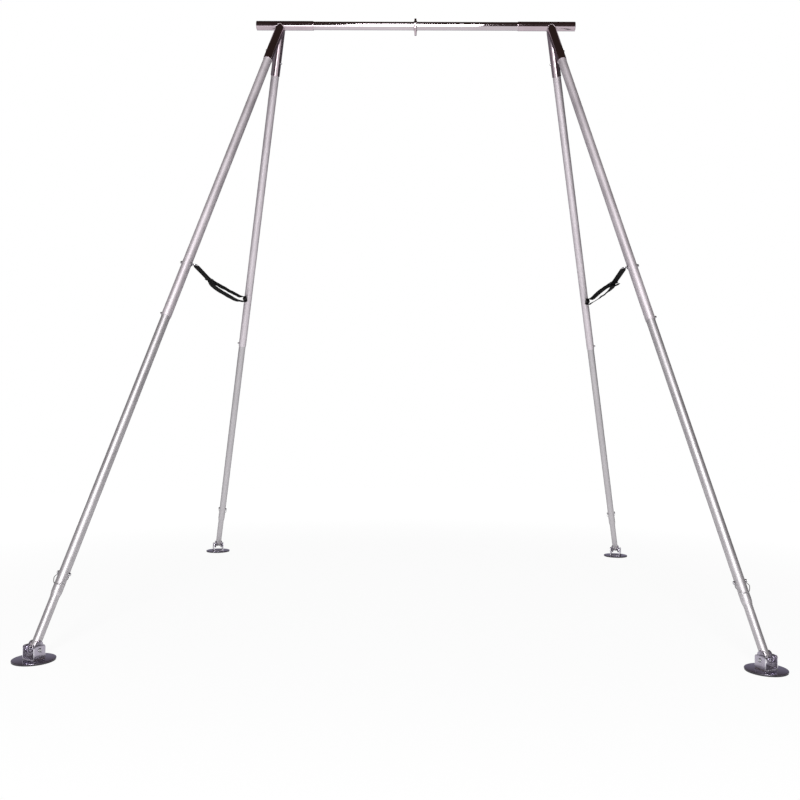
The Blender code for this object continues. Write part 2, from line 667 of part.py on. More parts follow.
def make_bail(leg, materials):
    """The wire bail on a lock pin: an eye on each end of the pin and a bow over the leg's upper face.

    It is built with Z along the pin and X up the leg, so that it hangs along -X.
    """
    eye = PIN_RADIUS + HOLE_GAP + BAIL_WIRE
    seat = bail_seat()
    hug = LOWER_RADIUS + BEAD_HEIGHT + BAIL_CLEAR + BAIL_WIRE
    bow = 1.0 if leg.upper_face.dot(leg.outward.cross(leg.up)) > 0.0 else -1.0
    half = [Vector((-eye, 0.0, seat)),
            Vector((-0.45 * BAIL_DROP, bow * 0.40 * hug, seat + BAIL_BULGE)),
            Vector((-0.82 * BAIL_DROP, bow * 0.80 * hug, seat - 0.15 * hug)),
            Vector((-BAIL_DROP, bow * hug, 0.45 * hug))]
    other = [Vector((point.x, point.y, -point.z)) for point in reversed(half)]
    route = smooth_route(half + [Vector((-BAIL_DROP, bow * (hug + BAIL_CLEAR), 0.0))] + other, BEND_STEPS)
    name = "lock_bail_" + leg.name
    bail = leg.across(wire(name, route, BAIL_WIRE, False), leg.pin_station, leg.outward, materials["zinc"])
    for way, label in ((-1, "a_"), (1, "b_")):
        ring = leg.across(torus("bail_eye_" + label + leg.name, eye, BAIL_WIRE, SMALL_SIDES),
                          leg.pin_station, leg.outward)
        ring.matrix_basis = ring.matrix_basis @ Matrix.Translation((0.0, 0.0, way * seat))
        join(bail, ring)
    return bail


# Feet

def plate_bottom():
    return PAD_THICKNESS + SEAT_GAP


def plate_top():
    return plate_bottom() + PLATE_THICKNESS


def channel_outline():
    """The bent channel seen along the leg's splay: x across it, y above the floor."""
    outer = CHANNEL_WIDTH / 2
    inner = outer - CHANNEL_WALL
    floor = plate_top() + CHANNEL_WALL
    bend = CHANNEL_BEND + CHANNEL_WALL
    right = [(outer - bend, plate_top() - WELD_OVERLAP)]
    right += arc_points((outer - bend, plate_top() + bend), bend, 1.5 * math.pi, 2 * math.pi, BEND_STEPS)
    right += [(outer, CHANNEL_TOP), (inner, CHANNEL_TOP)]
    right += arc_points((inner - CHANNEL_BEND, floor + CHANNEL_BEND), CHANNEL_BEND, 0.0, -math.pi / 2, BEND_STEPS)
    left = [(-x, y) for x, y in reversed(right)]
    return right + left


def upright_outline():
    """The uprights seen along the pivot: x along the splay, y above the floor."""
    half = CHANNEL_DEPTH / 2
    top = CHANNEL_TOP - CHANNEL_CORNER
    return ([(-half, 0.0), (half, 0.0)]
            + arc_points((half - CHANNEL_CORNER, top), CHANNEL_CORNER, 0.0, math.pi / 2, BEND_STEPS)
            + arc_points((-half + CHANNEL_CORNER, top), CHANNEL_CORNER, math.pi / 2, math.pi, BEND_STEPS))


def make_foot_plate(leg, materials):
    """A round plate with a bent channel welded on it, whose uprights hold the pivot pin."""
    ground = Vector((leg.pivot.x, leg.pivot.y, 0.0))
    channel = extrude_outline("foot_plate_" + leg.name, channel_outline(), -CHANNEL_DEPTH, CHANNEL_DEPTH)
    plate = place(channel, leg.foot_axis, frame_matrix(ground, leg.splay, Z_AXIS.cross(leg.splay)),
                  materials["plate"])
    uprights = extrude_outline("uprights_" + leg.name, upright_outline(), -CHANNEL_WIDTH, CHANNEL_WIDTH)
    boolean(plate, place(uprights, leg.foot_axis, frame_matrix(ground, leg.splay.cross(Z_AXIS), leg.splay)),
            "INTERSECT")
    disc = rod("disc_" + leg.name, PLATE_RADIUS, plate_bottom(), plate_top(), PLATE_SIDES, EDGE_CHAMFER)
    join(plate, leg.on_foot(disc))
    hole = rod("plate_hole_" + leg.name, PIVOT_RADIUS + HOLE_GAP, -CHANNEL_WIDTH, CHANNEL_WIDTH)
    cut(plate, place(hole, leg.foot_axis, frame_matrix(leg.pivot, leg.pivot_axis, Z_AXIS)))
    return plate


def make_foot_pad(leg, materials):
    pad = rod("foot_pad_" + leg.name, PAD_RADIUS, 0.0, PAD_THICKNESS, PLATE_SIDES)
    return leg.on_foot(pad, materials["rubber"])


def make_pivot_pin(leg, materials):
    """The rivet that the foot turns on, domed at both ends."""
    shoulder = CHANNEL_WIDTH / 2 + SEAT_GAP
    upper = [(PIVOT_RADIUS, shoulder)] + dome_points(PIVOT_HEAD_RADIUS, shoulder, PIVOT_HEAD_HEIGHT)
    lower = [(radius, -height) for radius, height in reversed(upper)]
    return place(lathe("pivot_pin_" + leg.name, lower + upper, SMALL_SIDES), leg.foot_axis,
                 frame_matrix(leg.pivot, leg.pivot_axis, Z_AXIS), materials["zinc"])


# Strap bolts and knobs

def washer_top():
    """Leg axis to a washer's flat face."""
    return UPPER_RADIUS + WASHER_HEIGHT


def make_strap_bolt(leg, end, materials):
    """A bolt through the leg, with a head on one side and a washer coped to the leg on both."""
    direction = leg.strap_direction()
    shank = rod("strap_bolt_" + leg.name, BOLT_RADIUS, -washer_top() - BOLT_HEAD_HEIGHT / 2, end)
    bolt = leg.across(shank, leg.strap_station(), direction, materials["zinc"])
    for way, label in ((1, "strap_side_"), (-1, "head_side_")):
        washer = leg.across(rod("washer_" + label + leg.name, WASHER_RADIUS, 0.0, washer_top()),
                            leg.strap_station(), direction * way)
        saddle = rod("saddle_" + label + leg.name, UPPER_RADIUS + SEAT_GAP, -UPPER_END, -UPPER_START, TUBE_SIDES)
        cut(washer, leg.along(saddle))
        join(bolt, washer)
    head = rod("head_" + leg.name, BOLT_HEAD_RADIUS, washer_top() - WELD_OVERLAP,
               washer_top() + BOLT_HEAD_HEIGHT, 6)
    join(bolt, leg.across(head, leg.strap_station(), -direction))
    return bolt


def eye_middle(leg):
    """The middle of a front bolt's eye, in the world."""
    reach = washer_top() + STRAP_EYE_WIRE + STRAP_EYE_RADIUS - WELD_OVERLAP
    return leg.at(leg.strap_station()) + leg.strap_direction() * reach


def make_eye_bolt(leg, materials):
    """The front bolts end in an eye on the leg's inner side, which the strap is looped through."""
    direction = leg.strap_direction()
    bolt = make_strap_bolt(leg, washer_top() + STRAP_EYE_WIRE / 2, materials)
    up = Z_AXIS - direction * Z_AXIS.dot(direction)
    ring = torus("eye_ring_" + leg.name, STRAP_EYE_RADIUS, STRAP_EYE_WIRE, TUBE_SIDES)
    join(bolt, place(ring, leg.axis, frame_matrix(eye_middle(leg), up, direction)))
    return bolt


def knob_seat():
    """Leg axis to the knob's inner face, past the webbing that it clamps."""
    return washer_top() + WEBBING_THICKNESS + 2 * SEAT_GAP


def make_knob(leg, materials):
    """A round knob with a rounded front edge, screwed on the rear bolt inside the strap's loop."""
    start = knob_seat()
    top = start + KNOB_HEIGHT
    profile = [(0.0, start + KNOB_BORE), (BOLT_RADIUS + HOLE_GAP, start + KNOB_BORE),
               (BOLT_RADIUS + HOLE_GAP, start), (KNOB_RADIUS - EDGE_CHAMFER, start),
               (KNOB_RADIUS, start + EDGE_CHAMFER)]
    profile += arc_points((KNOB_RADIUS - KNOB_EDGE, top - KNOB_EDGE), KNOB_EDGE, 0.0, math.pi / 2, BEND_STEPS)
    return leg.across(lathe("strap_knob_" + leg.name, profile + [(0.0, top)], TUBE_SIDES),
                      leg.strap_station(), leg.strap_direction(), materials["black"])


# Straps

def strap_point(side_name, y, z):
    """A point of a strap's middle line, which moves out as it runs back."""
    return Vector((SIDES[side_name] * (BUCKLE_X + STRAP_SPREAD * (y - BUCKLE_Y)), y, z))


def bend_round(side_name, y, z, radius, start, end):
    """Webbing bent round a bar along X, seen from the side with Y to the right."""
    return [strap_point(side_name, *point) for point in arc_points((y, z), radius, start, end, WEBBING_STEPS)]


def make_front_strap(side_name, front, materials):
    """A short loop of webbing from the front leg's eye to the buckle's front bar."""
    eye = eye_middle(front)
    half = WEBBING_THICKNESS / 2
    eye_bend = STRAP_EYE_WIRE + WEBBING_PLAY + half
    bar_bend = BUCKLE_ROD + WEBBING_PLAY + half
    hole = STRAP_EYE_RADIUS - STRAP_EYE_WIRE - WEBBING_PLAY
    eye_y = eye.y + math.sqrt(hole ** 2 - (WEBBING_IN_EYE / 2) ** 2) - half + eye_bend
    past_eye = eye.y + STRAP_EYE_RADIUS + half
    bar_y = BUCKLE_Y - BUCKLE_LENGTH / 2
    ply = (WEBBING_THICKNESS + WEBBING_WAIST) / 2
    top = []
    below = []
    middle_y = (eye_y + bar_y) / 2
    for y, spread in ((past_eye, eye_bend), (past_eye + WEBBING_EASE, ply), (middle_y, ply),
                      (bar_y - WEBBING_EASE, ply)):
        z = eye.z + (BUCKLE_Z - eye.z) * (y - eye_y) / (bar_y - eye_y)
        top.append(strap_point(side_name, y, z + spread))
        below.insert(0, strap_point(side_name, y, z - spread))
    at_eye = bend_round(side_name, eye_y, eye.z, eye_bend, 1.5 * math.pi, 0.5 * math.pi)
    at_bar = bend_round(side_name, bar_y, BUCKLE_Z, bar_bend, 0.5 * math.pi, -0.5 * math.pi)
    shift = eye.x - strap_point(side_name, eye_y, 0.0).x
    in_eye = front.strap_direction() * -front.side
    route = []
    across = []
    widths = []
    for point in at_eye + top + at_bar + below:
        share = min(1.0, (bar_y - point.y) / (bar_y - eye_y))
        route.append(point + X_AXIS * shift * max(0.0, share))
        gathered = point.y < past_eye + half
        across.append(in_eye if gathered else X_AXIS)
        widths.append(WEBBING_IN_EYE if gathered else WEBBING_WIDTH)
    mesh = ribbon("strap_front_" + side_name, route, across, widths, True)
    return place(mesh, front.axis, Matrix.Identity(4), materials["webbing"])


def knob_bend(rear):
    """The webbing's way behind a knob, from over its front edge to under it."""
    direction = rear.strap_direction()
    clamp = rear.at(rear.strap_station()) + direction * (washer_top() + SEAT_GAP + WEBBING_THICKNESS / 2)
    rise = (Z_AXIS - direction * Z_AXIS.dot(direction)).normalized()
    turn = KNOB_RADIUS + WEBBING_PLAY + WEBBING_THICKNESS / 2
    upper = [clamp + rise * turn + direction * (KNOB_HEIGHT + WEBBING_THICKNESS),
             clamp + rise * turn + direction * WEBBING_WAIST, clamp + rise * (turn - WEBBING_WAIST)]
    lower = [clamp - rise * (turn - WEBBING_WAIST), clamp - rise * turn + direction * WEBBING_WAIST,
             clamp - rise * turn + direction * (KNOB_HEIGHT + WEBBING_THICKNESS)]
    return upper + lower, rise.cross(direction)


def join_tail(side_name, strap, parent):
    """The strap's free end, which hangs from the lower strand under the buckle, cut to a point."""
    route = [strap_point(side_name, y, z) for y, z in TAIL_ROUTE]
    widths = [TAIL_WIDTH] * (len(route) - 1) + [TAIL_TIP_WIDTH]
    tail = ribbon("strap_tail_" + side_name, route, [X_AXIS] * len(route), widths, False)
    join(strap, place(tail, parent, Matrix.Identity(4)))


def make_rear_strap(side_name, rear, materials):
    """A long loop of webbing from the buckle's rear bar round the knob, clamped by its bolt."""
    at_bar = bend_round(side_name, BUCKLE_Y + BUCKLE_LENGTH / 2, BUCKLE_Z,
                        BUCKLE_ROD + WEBBING_PLAY + WEBBING_THICKNESS / 2, 1.5 * math.pi, 0.5 * math.pi)
    at_knob, in_knob = knob_bend(rear)
    upper = [strap_point(side_name, y, z) for y, z in UPPER_STRAND[side_name]]
    lower = [strap_point(side_name, y, z) for y, z in LOWER_STRAND[side_name]]
    there = smooth_route([at_bar[-1]] + upper + [at_knob[0]], 2)
    back = smooth_route([at_knob[-1]] + lower + [at_bar[0]], 2)
    route = at_bar[:-1] + there + at_knob[1:-1] + back[:-1]
    across = []
    for point in route:
        near = min(1.0, max(0.0, 1.0 - (at_knob[0].y - point.y) / (2 * WEBBING_WIDTH)))
        across.append(X_AXIS.lerp(in_knob, near))
    mesh = ribbon("strap_rear_" + side_name, route, across, [WEBBING_WIDTH] * len(route), True)
    strap = place(mesh, rear.axis, Matrix.Identity(4), materials["webbing"])
    rear.cross_hole(strap, rear.strap_station(), rear.strap_direction(), BOLT_RADIUS, UPPER_RADIUS,
                    knob_seat() + WEBBING_THICKNESS)
    if side_name == "right":
        join_tail(side_name, strap, rear.axis)
    return strap


def make_buckle(side_name, parent, materials):
    """A rounded wire frame with a bar for each strap."""
    half_length = BUCKLE_LENGTH / 2 - BUCKLE_CORNER
    half_width = BUCKLE_WIDTH / 2 - BUCKLE_CORNER
    middle = strap_point(side_name, BUCKLE_Y, BUCKLE_Z)
    route = []
    for quarter, (x_side, y_side) in enumerate(((1, 1), (-1, 1), (-1, -1), (1, -1))):
        start = quarter * math.pi / 2
        corner = arc_points((x_side * half_width, y_side * half_length), BUCKLE_CORNER,
                            start, start + math.pi / 2, BEND_STEPS)
        route += [middle + Vector((x, y, 0.0)) for x, y in corner]
    return place(wire("strap_buckle_" + side_name, route, BUCKLE_ROD, True), parent, Matrix.Identity(4),
                 materials["black"])


def main():
    clear_scene()
    materials = make_materials()
    bar = Bar()
    legs = {}
    for side_name in SIDES:
        for end_name in ENDS:
            leg = Leg(end_name, side_name)
            legs[leg.name] = leg
    make_crossbar(bar, materials)
    make_hanging_ring(bar, materials)
    for side_name in SIDES:
        front = legs["front_" + side_name]
        rear = legs["rear_" + side_name]
        make_connector(bar, side_name, [front, rear], materials)
        make_end_cap(bar, side_name, materials)
        make_bar_button(bar, side_name, materials)
        make_eye_bolt(front, materials)
        make_strap_bolt(rear, knob_seat() + KNOB_BORE - SEAT_GAP, materials)
        make_knob(rear, materials)
        make_front_strap(side_name, front, materials)
        make_rear_strap(side_name, rear, materials)
        make_buckle(side_name, bar.axis, materials)
    for leg in legs.values():
        make_upper_leg(leg, materials)
        make_lower_leg(leg, materials)
        make_foot_tube(leg, materials)
        make_socket_button(leg, materials)
        make_leg_button(leg, materials)
        make_lock_pin(leg, materials)
        make_bail(leg, materials)
        make_foot_plate(leg, materials)
        make_foot_pad(leg, materials)
        make_pivot_pin(leg, materials)


main()
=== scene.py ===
import math

import bmesh
import bpy
from mathutils import Matrix, Vector, noise


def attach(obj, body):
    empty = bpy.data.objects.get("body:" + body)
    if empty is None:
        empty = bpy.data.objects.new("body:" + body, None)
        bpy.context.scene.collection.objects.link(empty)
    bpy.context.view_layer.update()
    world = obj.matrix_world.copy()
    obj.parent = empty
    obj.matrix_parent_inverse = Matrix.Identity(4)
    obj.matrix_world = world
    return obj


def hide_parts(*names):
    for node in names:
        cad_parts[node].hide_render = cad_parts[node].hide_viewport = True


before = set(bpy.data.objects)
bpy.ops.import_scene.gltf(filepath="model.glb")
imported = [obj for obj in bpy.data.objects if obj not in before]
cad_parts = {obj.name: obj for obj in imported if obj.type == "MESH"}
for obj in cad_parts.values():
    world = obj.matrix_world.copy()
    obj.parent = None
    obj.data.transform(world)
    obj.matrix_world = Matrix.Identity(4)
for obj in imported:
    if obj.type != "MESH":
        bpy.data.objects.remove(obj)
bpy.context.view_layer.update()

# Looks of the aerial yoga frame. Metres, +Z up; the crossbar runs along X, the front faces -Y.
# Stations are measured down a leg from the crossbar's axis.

# Camera: place, turns in radians, focal length and principal point in pixels of the photograph
IMAGE_SIZE = 800
CAMERA_PLACE = (0.1324, -4.1360, 0.8543)
CAMERA_YAW = 0.0146
CAMERA_PITCH = 0.0373
CAMERA_ROLL = -0.0098
FOCAL_PIXELS = 827.5
PRINCIPAL_X = 426.1
PRINCIPAL_Y = 389.9
SENSOR = 36.0

# Overall shape, as in the part
BAR_HEIGHT = 2.860
LEG_TOP_X = 0.685
FOOT_X = 1.278
FOOT_Y = 1.2185
PIVOT_HEIGHT = 0.040
BAR_HALF_LENGTH = 0.810

# Fits
SEAT_GAP = 0.0003
SLIDE_GAP = 0.0003
HOLE_GAP = 0.0003
WELD_OVERLAP = 0.0010

# Crossbar, caps, ring and connectors
BAR_RADIUS = 0.0200
BAR_WALL = 0.0020
CAP_FLANGE = 0.0030
CAP_PLUG_LENGTH = 0.0140
CAP_DOME = 0.0008
RING_RADIUS = 0.0405
RING_DROP = 0.0055
RING_THICKNESS = 0.0100
RING_WELD = 0.0045
EYE_RADIUS = 0.0070
EYE_DROP = 0.0330
SLEEVE_INNER_X = 0.520
SLEEVE_WALL = 0.0020
SOCKET_WALL = 0.0018
SOCKET_LENGTH = 0.244
SOCKET_TAPER = 0.030
SOCKET_BEAD = 0.0022

# Legs
UPPER_RADIUS = 0.0210
UPPER_WALL = 0.0017
UPPER_START = 0.075
UPPER_END = 1.750
LOWER_RADIUS = 0.0190
LOWER_WALL = 0.0015
LOWER_START = 1.600
FOOT_TUBE_SHOWN = 0.1887
FOOT_TUBE_INSIDE = 0.3200
GUIDE_LENGTH = 0.0200
BEAD_FROM_END = 0.0430
BEAD_HEIGHT = 0.0007
BEAD_HALF_WIDTH = 0.0025
NECK_LENGTH = 0.0150
NECK_LIP = 0.0007
FOOT_TUBE_RADIUS = 0.0160
FOOT_TUBE_WALL = 0.0015
FOOT_TUBE_SHORT = 0.0100
EAR_THICKNESS = 0.0055
EAR_HALF_WIDTH = 0.0145
EAR_RISE = 0.0300
BOSS_RADIUS = 0.0090

# Buttons, lock pins and bails
BUTTON_RADIUS = 0.0045
BUTTON_FLANGE = 0.0065
BUTTON_FLANGE_HEIGHT = 0.0012
BAR_BUTTON_X = 0.545
BAR_BUTTON_PROUD = 0.0050
SOCKET_BUTTON_STATION = 0.180
SOCKET_BUTTON_PROUD = 0.0050
LEG_BUTTON_STATION = 1.738
LEG_BUTTON_PROUD = 0.0080
LEAF_WIDTH = 0.0100
LEAF_THICKNESS = 0.0010
LEAF_LENGTH = 0.0450
LEAF_BEND = 0.0055
LEAF_RETURN = 0.0300
LEAF_SPREAD = 0.0060
PIN_FROM_END = 0.0830
PIN_RADIUS = 0.0040
PIN_HEAD_RADIUS = 0.0065
PIN_HEAD_HEIGHT = 0.0030
BAIL_WIRE = 0.0013
BAIL_DROP = 0.0430
BAIL_BULGE = 0.0045
BAIL_CLEAR = 0.0008

# Feet
PLATE_RADIUS = 0.0730
PLATE_THICKNESS = 0.0040
PAD_RADIUS = 0.0720
PAD_THICKNESS = 0.0030
CHANNEL_WIDTH = 0.0600
CHANNEL_DEPTH = 0.0470
CHANNEL_TOP = 0.0560
CHANNEL_WALL = 0.0030
CHANNEL_BEND = 0.0030
CHANNEL_CORNER = 0.0090
PIVOT_RADIUS = 0.0040
PIVOT_HEAD_RADIUS = 0.0070
PIVOT_HEAD_HEIGHT = 0.0025

# Strap bolts, knobs, straps and buckles
FRONT_STRAP_STATION = 1.478
REAR_STRAP_STATION = 1.458
KNOB_TURN = math.radians(22)
BOLT_RADIUS = 0.0040
BOLT_HEAD_RADIUS = 0.0070
BOLT_HEAD_HEIGHT = 0.0050
WASHER_RADIUS = 0.0085
WASHER_HEIGHT = 0.0020
STRAP_EYE_RADIUS = 0.0110
STRAP_EYE_WIRE = 0.0025
KNOB_RADIUS = 0.0140
KNOB_HEIGHT = 0.0120
KNOB_FLUTES = 14
KNOB_FLUTE_DEPTH = 0.0008
WEBBING_WIDTH = 0.0240
WEBBING_IN_EYE = 0.0140
WEBBING_THICKNESS = 0.0018
WEBBING_WAIST = 0.0014
WEBBING_PLAY = 0.0005
WEBBING_EASE = 0.0200
BUCKLE_X = 0.946
BUCKLE_Y = -0.290
BUCKLE_Z = 1.506
BUCKLE_LENGTH = 0.0300
BUCKLE_WIDTH = 0.0330
BUCKLE_ROD = 0.0022
BUCKLE_CORNER = 0.0050
STRAP_SPREAD = 0.0350
UPPER_STRAND = {
    "left": [(-0.200, 1.509), (-0.056, 1.5136), (0.173, 1.522), (0.428, 1.534), (0.500, 1.545)],
    "right": [(-0.162, 1.515), (0.014, 1.524), (0.173, 1.5286), (0.380, 1.531), (0.500, 1.545)],
}
LOWER_STRAND = {
    "left": [(0.490, 1.516), (0.325, 1.499), (0.175, 1.493), (0.035, 1.490),
             (-0.097, 1.487), (-0.220, 1.490)],
    "right": [(0.490, 1.515), (0.344, 1.507), (0.172, 1.497), (-0.017, 1.492),
              (-0.134, 1.488), (-0.235, 1.490)],
}
TAIL_ROUTE = [(-0.230, 1.4892), (-0.262, 1.4925), (-0.300, 1.4910), (-0.345, 1.4870), (-0.385, 1.4805),
              (-0.400, 1.4780), (-0.412, 1.4760)]
TAIL_WIDTH = 0.0220
STRAND_LEANS = {"left": (math.radians(-14), math.radians(20)), "right": (math.radians(18), math.radians(26))}
STRAND_WANDER = math.radians(16)
KNOB_WRAP = 0.070
KNOB_LOOP_PLAY = 0.0005
TAIL_TWIST = math.radians(34)

# Roundness
TUBE_SIDES = 64
SMALL_SIDES = 32
WIRE_SIDES = 14
EDGE = 0.0006
SMOOTH_ANGLE = math.radians(32)
ROUND_TOLERANCE = 0.00006
HOLE_MARGIN = 0.012

# Weave
WEBBING_MAP = "webbing"
YARN_PITCH = 0.0015
RIB_PITCH = 0.0013

# Metal: a dark tint on the satin tubes' grazing reflections, painted shade that darkens their edges, and how
# dull a scuff is
GRAZING_SHADE_TINT = (0.20, 0.19, 0.20)
SCUFF_ROUGHNESS = 0.10

# Studio
WHITE = (1.0, 1.0, 1.0)
ROOM_FRONT = (0.055, 0.038, 0.036)
ROOM_BACK = (0.21, 0.197, 0.25)
ROOM_LEFT = (0.26, 0.25, 0.27)
ROOM_RIGHT = (0.08, 0.075, 0.08)
ROOM_CEILING = (0.040, 0.026, 0.022)
SKY_LIGHT = 0.12
FLOOR_RADIUS = 6.2
FLOOR_GLOW = 0.88
FLOOR_WHITE = 1.06
FADE_START = 1.2
FADE_END = 5.6

SIDES = {"left": -1, "right": 1}
ENDS = {"front": -1, "rear": 1}
X_AXIS = Vector((1.0, 0.0, 0.0))
Y_AXIS = Vector((0.0, 1.0, 0.0))
Z_AXIS = Vector((0.0, 0.0, 1.0))
STAND = "stand"


# Materials

class Graph:
    """A node tree, built with short calls."""

    def __init__(self, tree):
        self.tree = tree

    def add(self, kind, **settings):
        node = self.tree.nodes.new(kind)
        for key, value in settings.items():
            setattr(node, key, value)
        return node

    def link(self, output, socket):
        self.tree.links.new(output, socket)

    def feed(self, value, socket):
        """Link an output to a socket, or set the socket to a number or a colour."""
        if isinstance(value, float):
            socket.default_value = value
        elif isinstance(value, tuple):
            socket.default_value = (*value, 1.0)
        else:
            self.link(value, socket)

    def noise(self, vector, scale, detail=4.0, roughness=0.55):
        node = self.add("ShaderNodeTexNoise")
        self.feed(scale, node.inputs["Scale"])
        self.feed(detail, node.inputs["Detail"])
        self.feed(roughness, node.inputs["Roughness"])
        self.link(vector, node.inputs["Vector"])
        return node.outputs["Fac"]

    def spread(self, value, low, high, to_low, to_high, shape="LINEAR"):
        """Map a value from one range to another."""
        node = self.add("ShaderNodeMapRange", interpolation_type=shape)
        for name, number in (("From Min", low), ("From Max", high), ("To Min", to_low), ("To Max", to_high)):
            node.inputs[name].default_value = number
        self.link(value, node.inputs["Value"])
        return node.outputs["Result"]

    def blend(self, factor, first, second):
        """Mix two colours by a factor."""
        node = self.add("ShaderNodeMix", data_type="RGBA")
        self.link(factor, node.inputs["Factor"])
        self.feed(first, node.inputs[6])
        self.feed(second, node.inputs[7])
        return node.outputs[2]

    def calculate(self, operation, first, second=0.0):
        node = self.add("ShaderNodeMath", operation=operation)
        self.feed(first, node.inputs[0])
        self.feed(second, node.inputs[1])
        return node.outputs[0]

    def split(self, vector):
        node = self.add("ShaderNodeSeparateXYZ")
        self.link(vector, node.inputs[0])
        return node.outputs["X"], node.outputs["Y"], node.outputs["Z"]

    def seen_rays(self):
        """Masks of the rays that see (from the camera, a mirror or glass), and of a mirror's rays."""
        rays = self.add("ShaderNodeLightPath").outputs
        mirrored = rays["Is Glossy Ray"]
        bounced = self.calculate("MAXIMUM", mirrored, rays["Is Transmission Ray"])
        return self.calculate("MAXIMUM", rays["Is Camera Ray"], bounced), mirrored


class Surface(Graph):
    """A material's node tree around its Principled shader."""

    def __init__(self, name):
        self.material = bpy.data.materials.new(name)
        self.material.use_nodes = True
        super().__init__(self.material.node_tree)
        self.shader = self.tree.nodes["Principled BSDF"]

    def place(self, stretch=1.0):
        """The piece's own coordinates, stretched along its Z."""
        source = self.add("ShaderNodeTexCoord")
        mapping = self.add("ShaderNodeMapping")
        mapping.inputs["Scale"].default_value = (1.0, 1.0, 1.0 / stretch)
        self.link(source.outputs["Object"], mapping.inputs["Vector"])
        return mapping.outputs["Vector"]

    def set(self, **values):
        for name, value in values.items():
            self.feed(value, self.shader.inputs[name.replace("_", " ")])

    def bump(self, height, strength, distance):
        node = self.add("ShaderNodeBump")
        node.inputs["Strength"].default_value = strength
        node.inputs["Distance"].default_value = distance
        self.link(height, node.inputs["Height"])
        self.link(node.outputs["Normal"], self.shader.inputs["Normal"])


def drawn_metal(name, colours, metallic, roughness, grain, stretch, relief=0.10):
    """Drawn, rolled or plated metal: fine lines along Z, cloudy handling marks and small scuffs."""
    metal = Surface(name)
    dark, light = colours
    lines = metal.noise(metal.place(stretch), grain, 3.0, 0.6)
    cloud = metal.noise(metal.place(2.5), 11.0, 5.0, 0.6)
    scuffs = metal.noise(metal.place(0.6), 150.0, 3.0, 0.5)
    tone = metal.calculate("ADD", metal.spread(lines, 0.3, 0.7, 0.0, 0.35),
                           metal.spread(cloud, 0.3, 0.7, 0.0, 0.65))
    marked = metal.calculate("MULTIPLY", metal.spread(scuffs, 0.62, 0.72, 0.0, 1.0),
                             metal.spread(cloud, 0.45, 0.6, 0.0, 1.0))
    clean = metal.blend(tone, dark, light)
    metal.set(Base_Color=metal.blend(metal.calculate("MULTIPLY", marked, 0.35), clean, dark))
    smooth, rough = roughness
    metal.set(Roughness=metal.calculate("ADD", metal.spread(cloud, 0.3, 0.7, smooth, rough),
                                        metal.calculate("MULTIPLY", marked, SCUFF_ROUGHNESS)))
    metal.set(Metallic=metallic)
    metal.bump(lines, relief, 0.0002)
    return metal


def make_chrome():
    """The connectors' mirror plating, faintly clouded, with fine polishing lines."""
    chrome = Surface("connector_chrome")
    cloud = chrome.noise(chrome.place(), 16.0, 5.0, 0.6)
    lines = chrome.noise(chrome.place(12.0), 500.0, 2.0, 0.5)
    chrome.set(Base_Color=chrome.blend(cloud, (0.44, 0.36, 0.40), (0.58, 0.485, 0.53)))
    chrome.set(Roughness=chrome.calculate("ADD", chrome.spread(cloud, 0.35, 0.7, 0.045, 0.09),
                                          chrome.spread(lines, 0.55, 0.8, 0.0, 0.06)))
    chrome.set(Metallic=1.0)
    chrome.bump(lines, 0.03, 0.0002)
    return chrome.material


def make_weld():
    """Plated weld metal, rougher than what it joins, with a fine grain on its ripples."""
    weld = Surface("weld_metal")
    grain = weld.noise(weld.place(), 900.0, 4.0, 0.6)
    soot = weld.noise(weld.place(), 60.0, 3.0, 0.6)
    bright = weld.blend(grain, (0.34, 0.30, 0.32), (0.58, 0.53, 0.56))
    weld.set(Base_Color=weld.blend(weld.spread(soot, 0.5, 0.65, 0.0, 0.7), bright, (0.16, 0.12, 0.11)))
    weld.set(Roughness=weld.spread(grain, 0.3, 0.7, 0.26, 0.42), Metallic=1.0)
    weld.bump(grain, 0.25, 0.0003)
    return weld.material


def make_rubber():
    """Moulded rubber with a fine grain, dusty in places."""
    rubber = Surface("pad_rubber")
    grain = rubber.noise(rubber.place(), 1400.0, 3.0, 0.6)
    dust = rubber.noise(rubber.place(), 35.0, 4.0, 0.6)
    rubber.set(Base_Color=rubber.blend(rubber.spread(dust, 0.5, 0.75, 0.0, 1.0), (0.014, 0.014, 0.015),
                                       (0.050, 0.047, 0.045)))
    rubber.set(Roughness=rubber.spread(dust, 0.4, 0.7, 0.72, 0.90))
    rubber.bump(grain, 0.35, 0.0004)
    return rubber.material


def make_black(name, worn_colour, roughness):
    """Black coating or moulded plastic with a fine orange-peel surface and paler worn edges."""
    black = Surface(name)
    peel = black.noise(black.place(), 1100.0, 2.0, 0.5)
    patch = black.noise(black.place(), 60.0, 3.0, 0.5)
    geometry = black.add("ShaderNodeNewGeometry")
    edges = black.spread(geometry.outputs["Pointiness"], 0.52, 0.60, 0.0, 1.0)
    worn = black.calculate("MULTIPLY", edges, patch)
    black.set(Base_Color=black.blend(worn, (0.010, 0.009, 0.010), worn_colour))
    black.set(Roughness=black.spread(patch, 0.3, 0.7, roughness - 0.06, roughness + 0.08))
    black.bump(peel, 0.2, 0.0003)
    return black.material


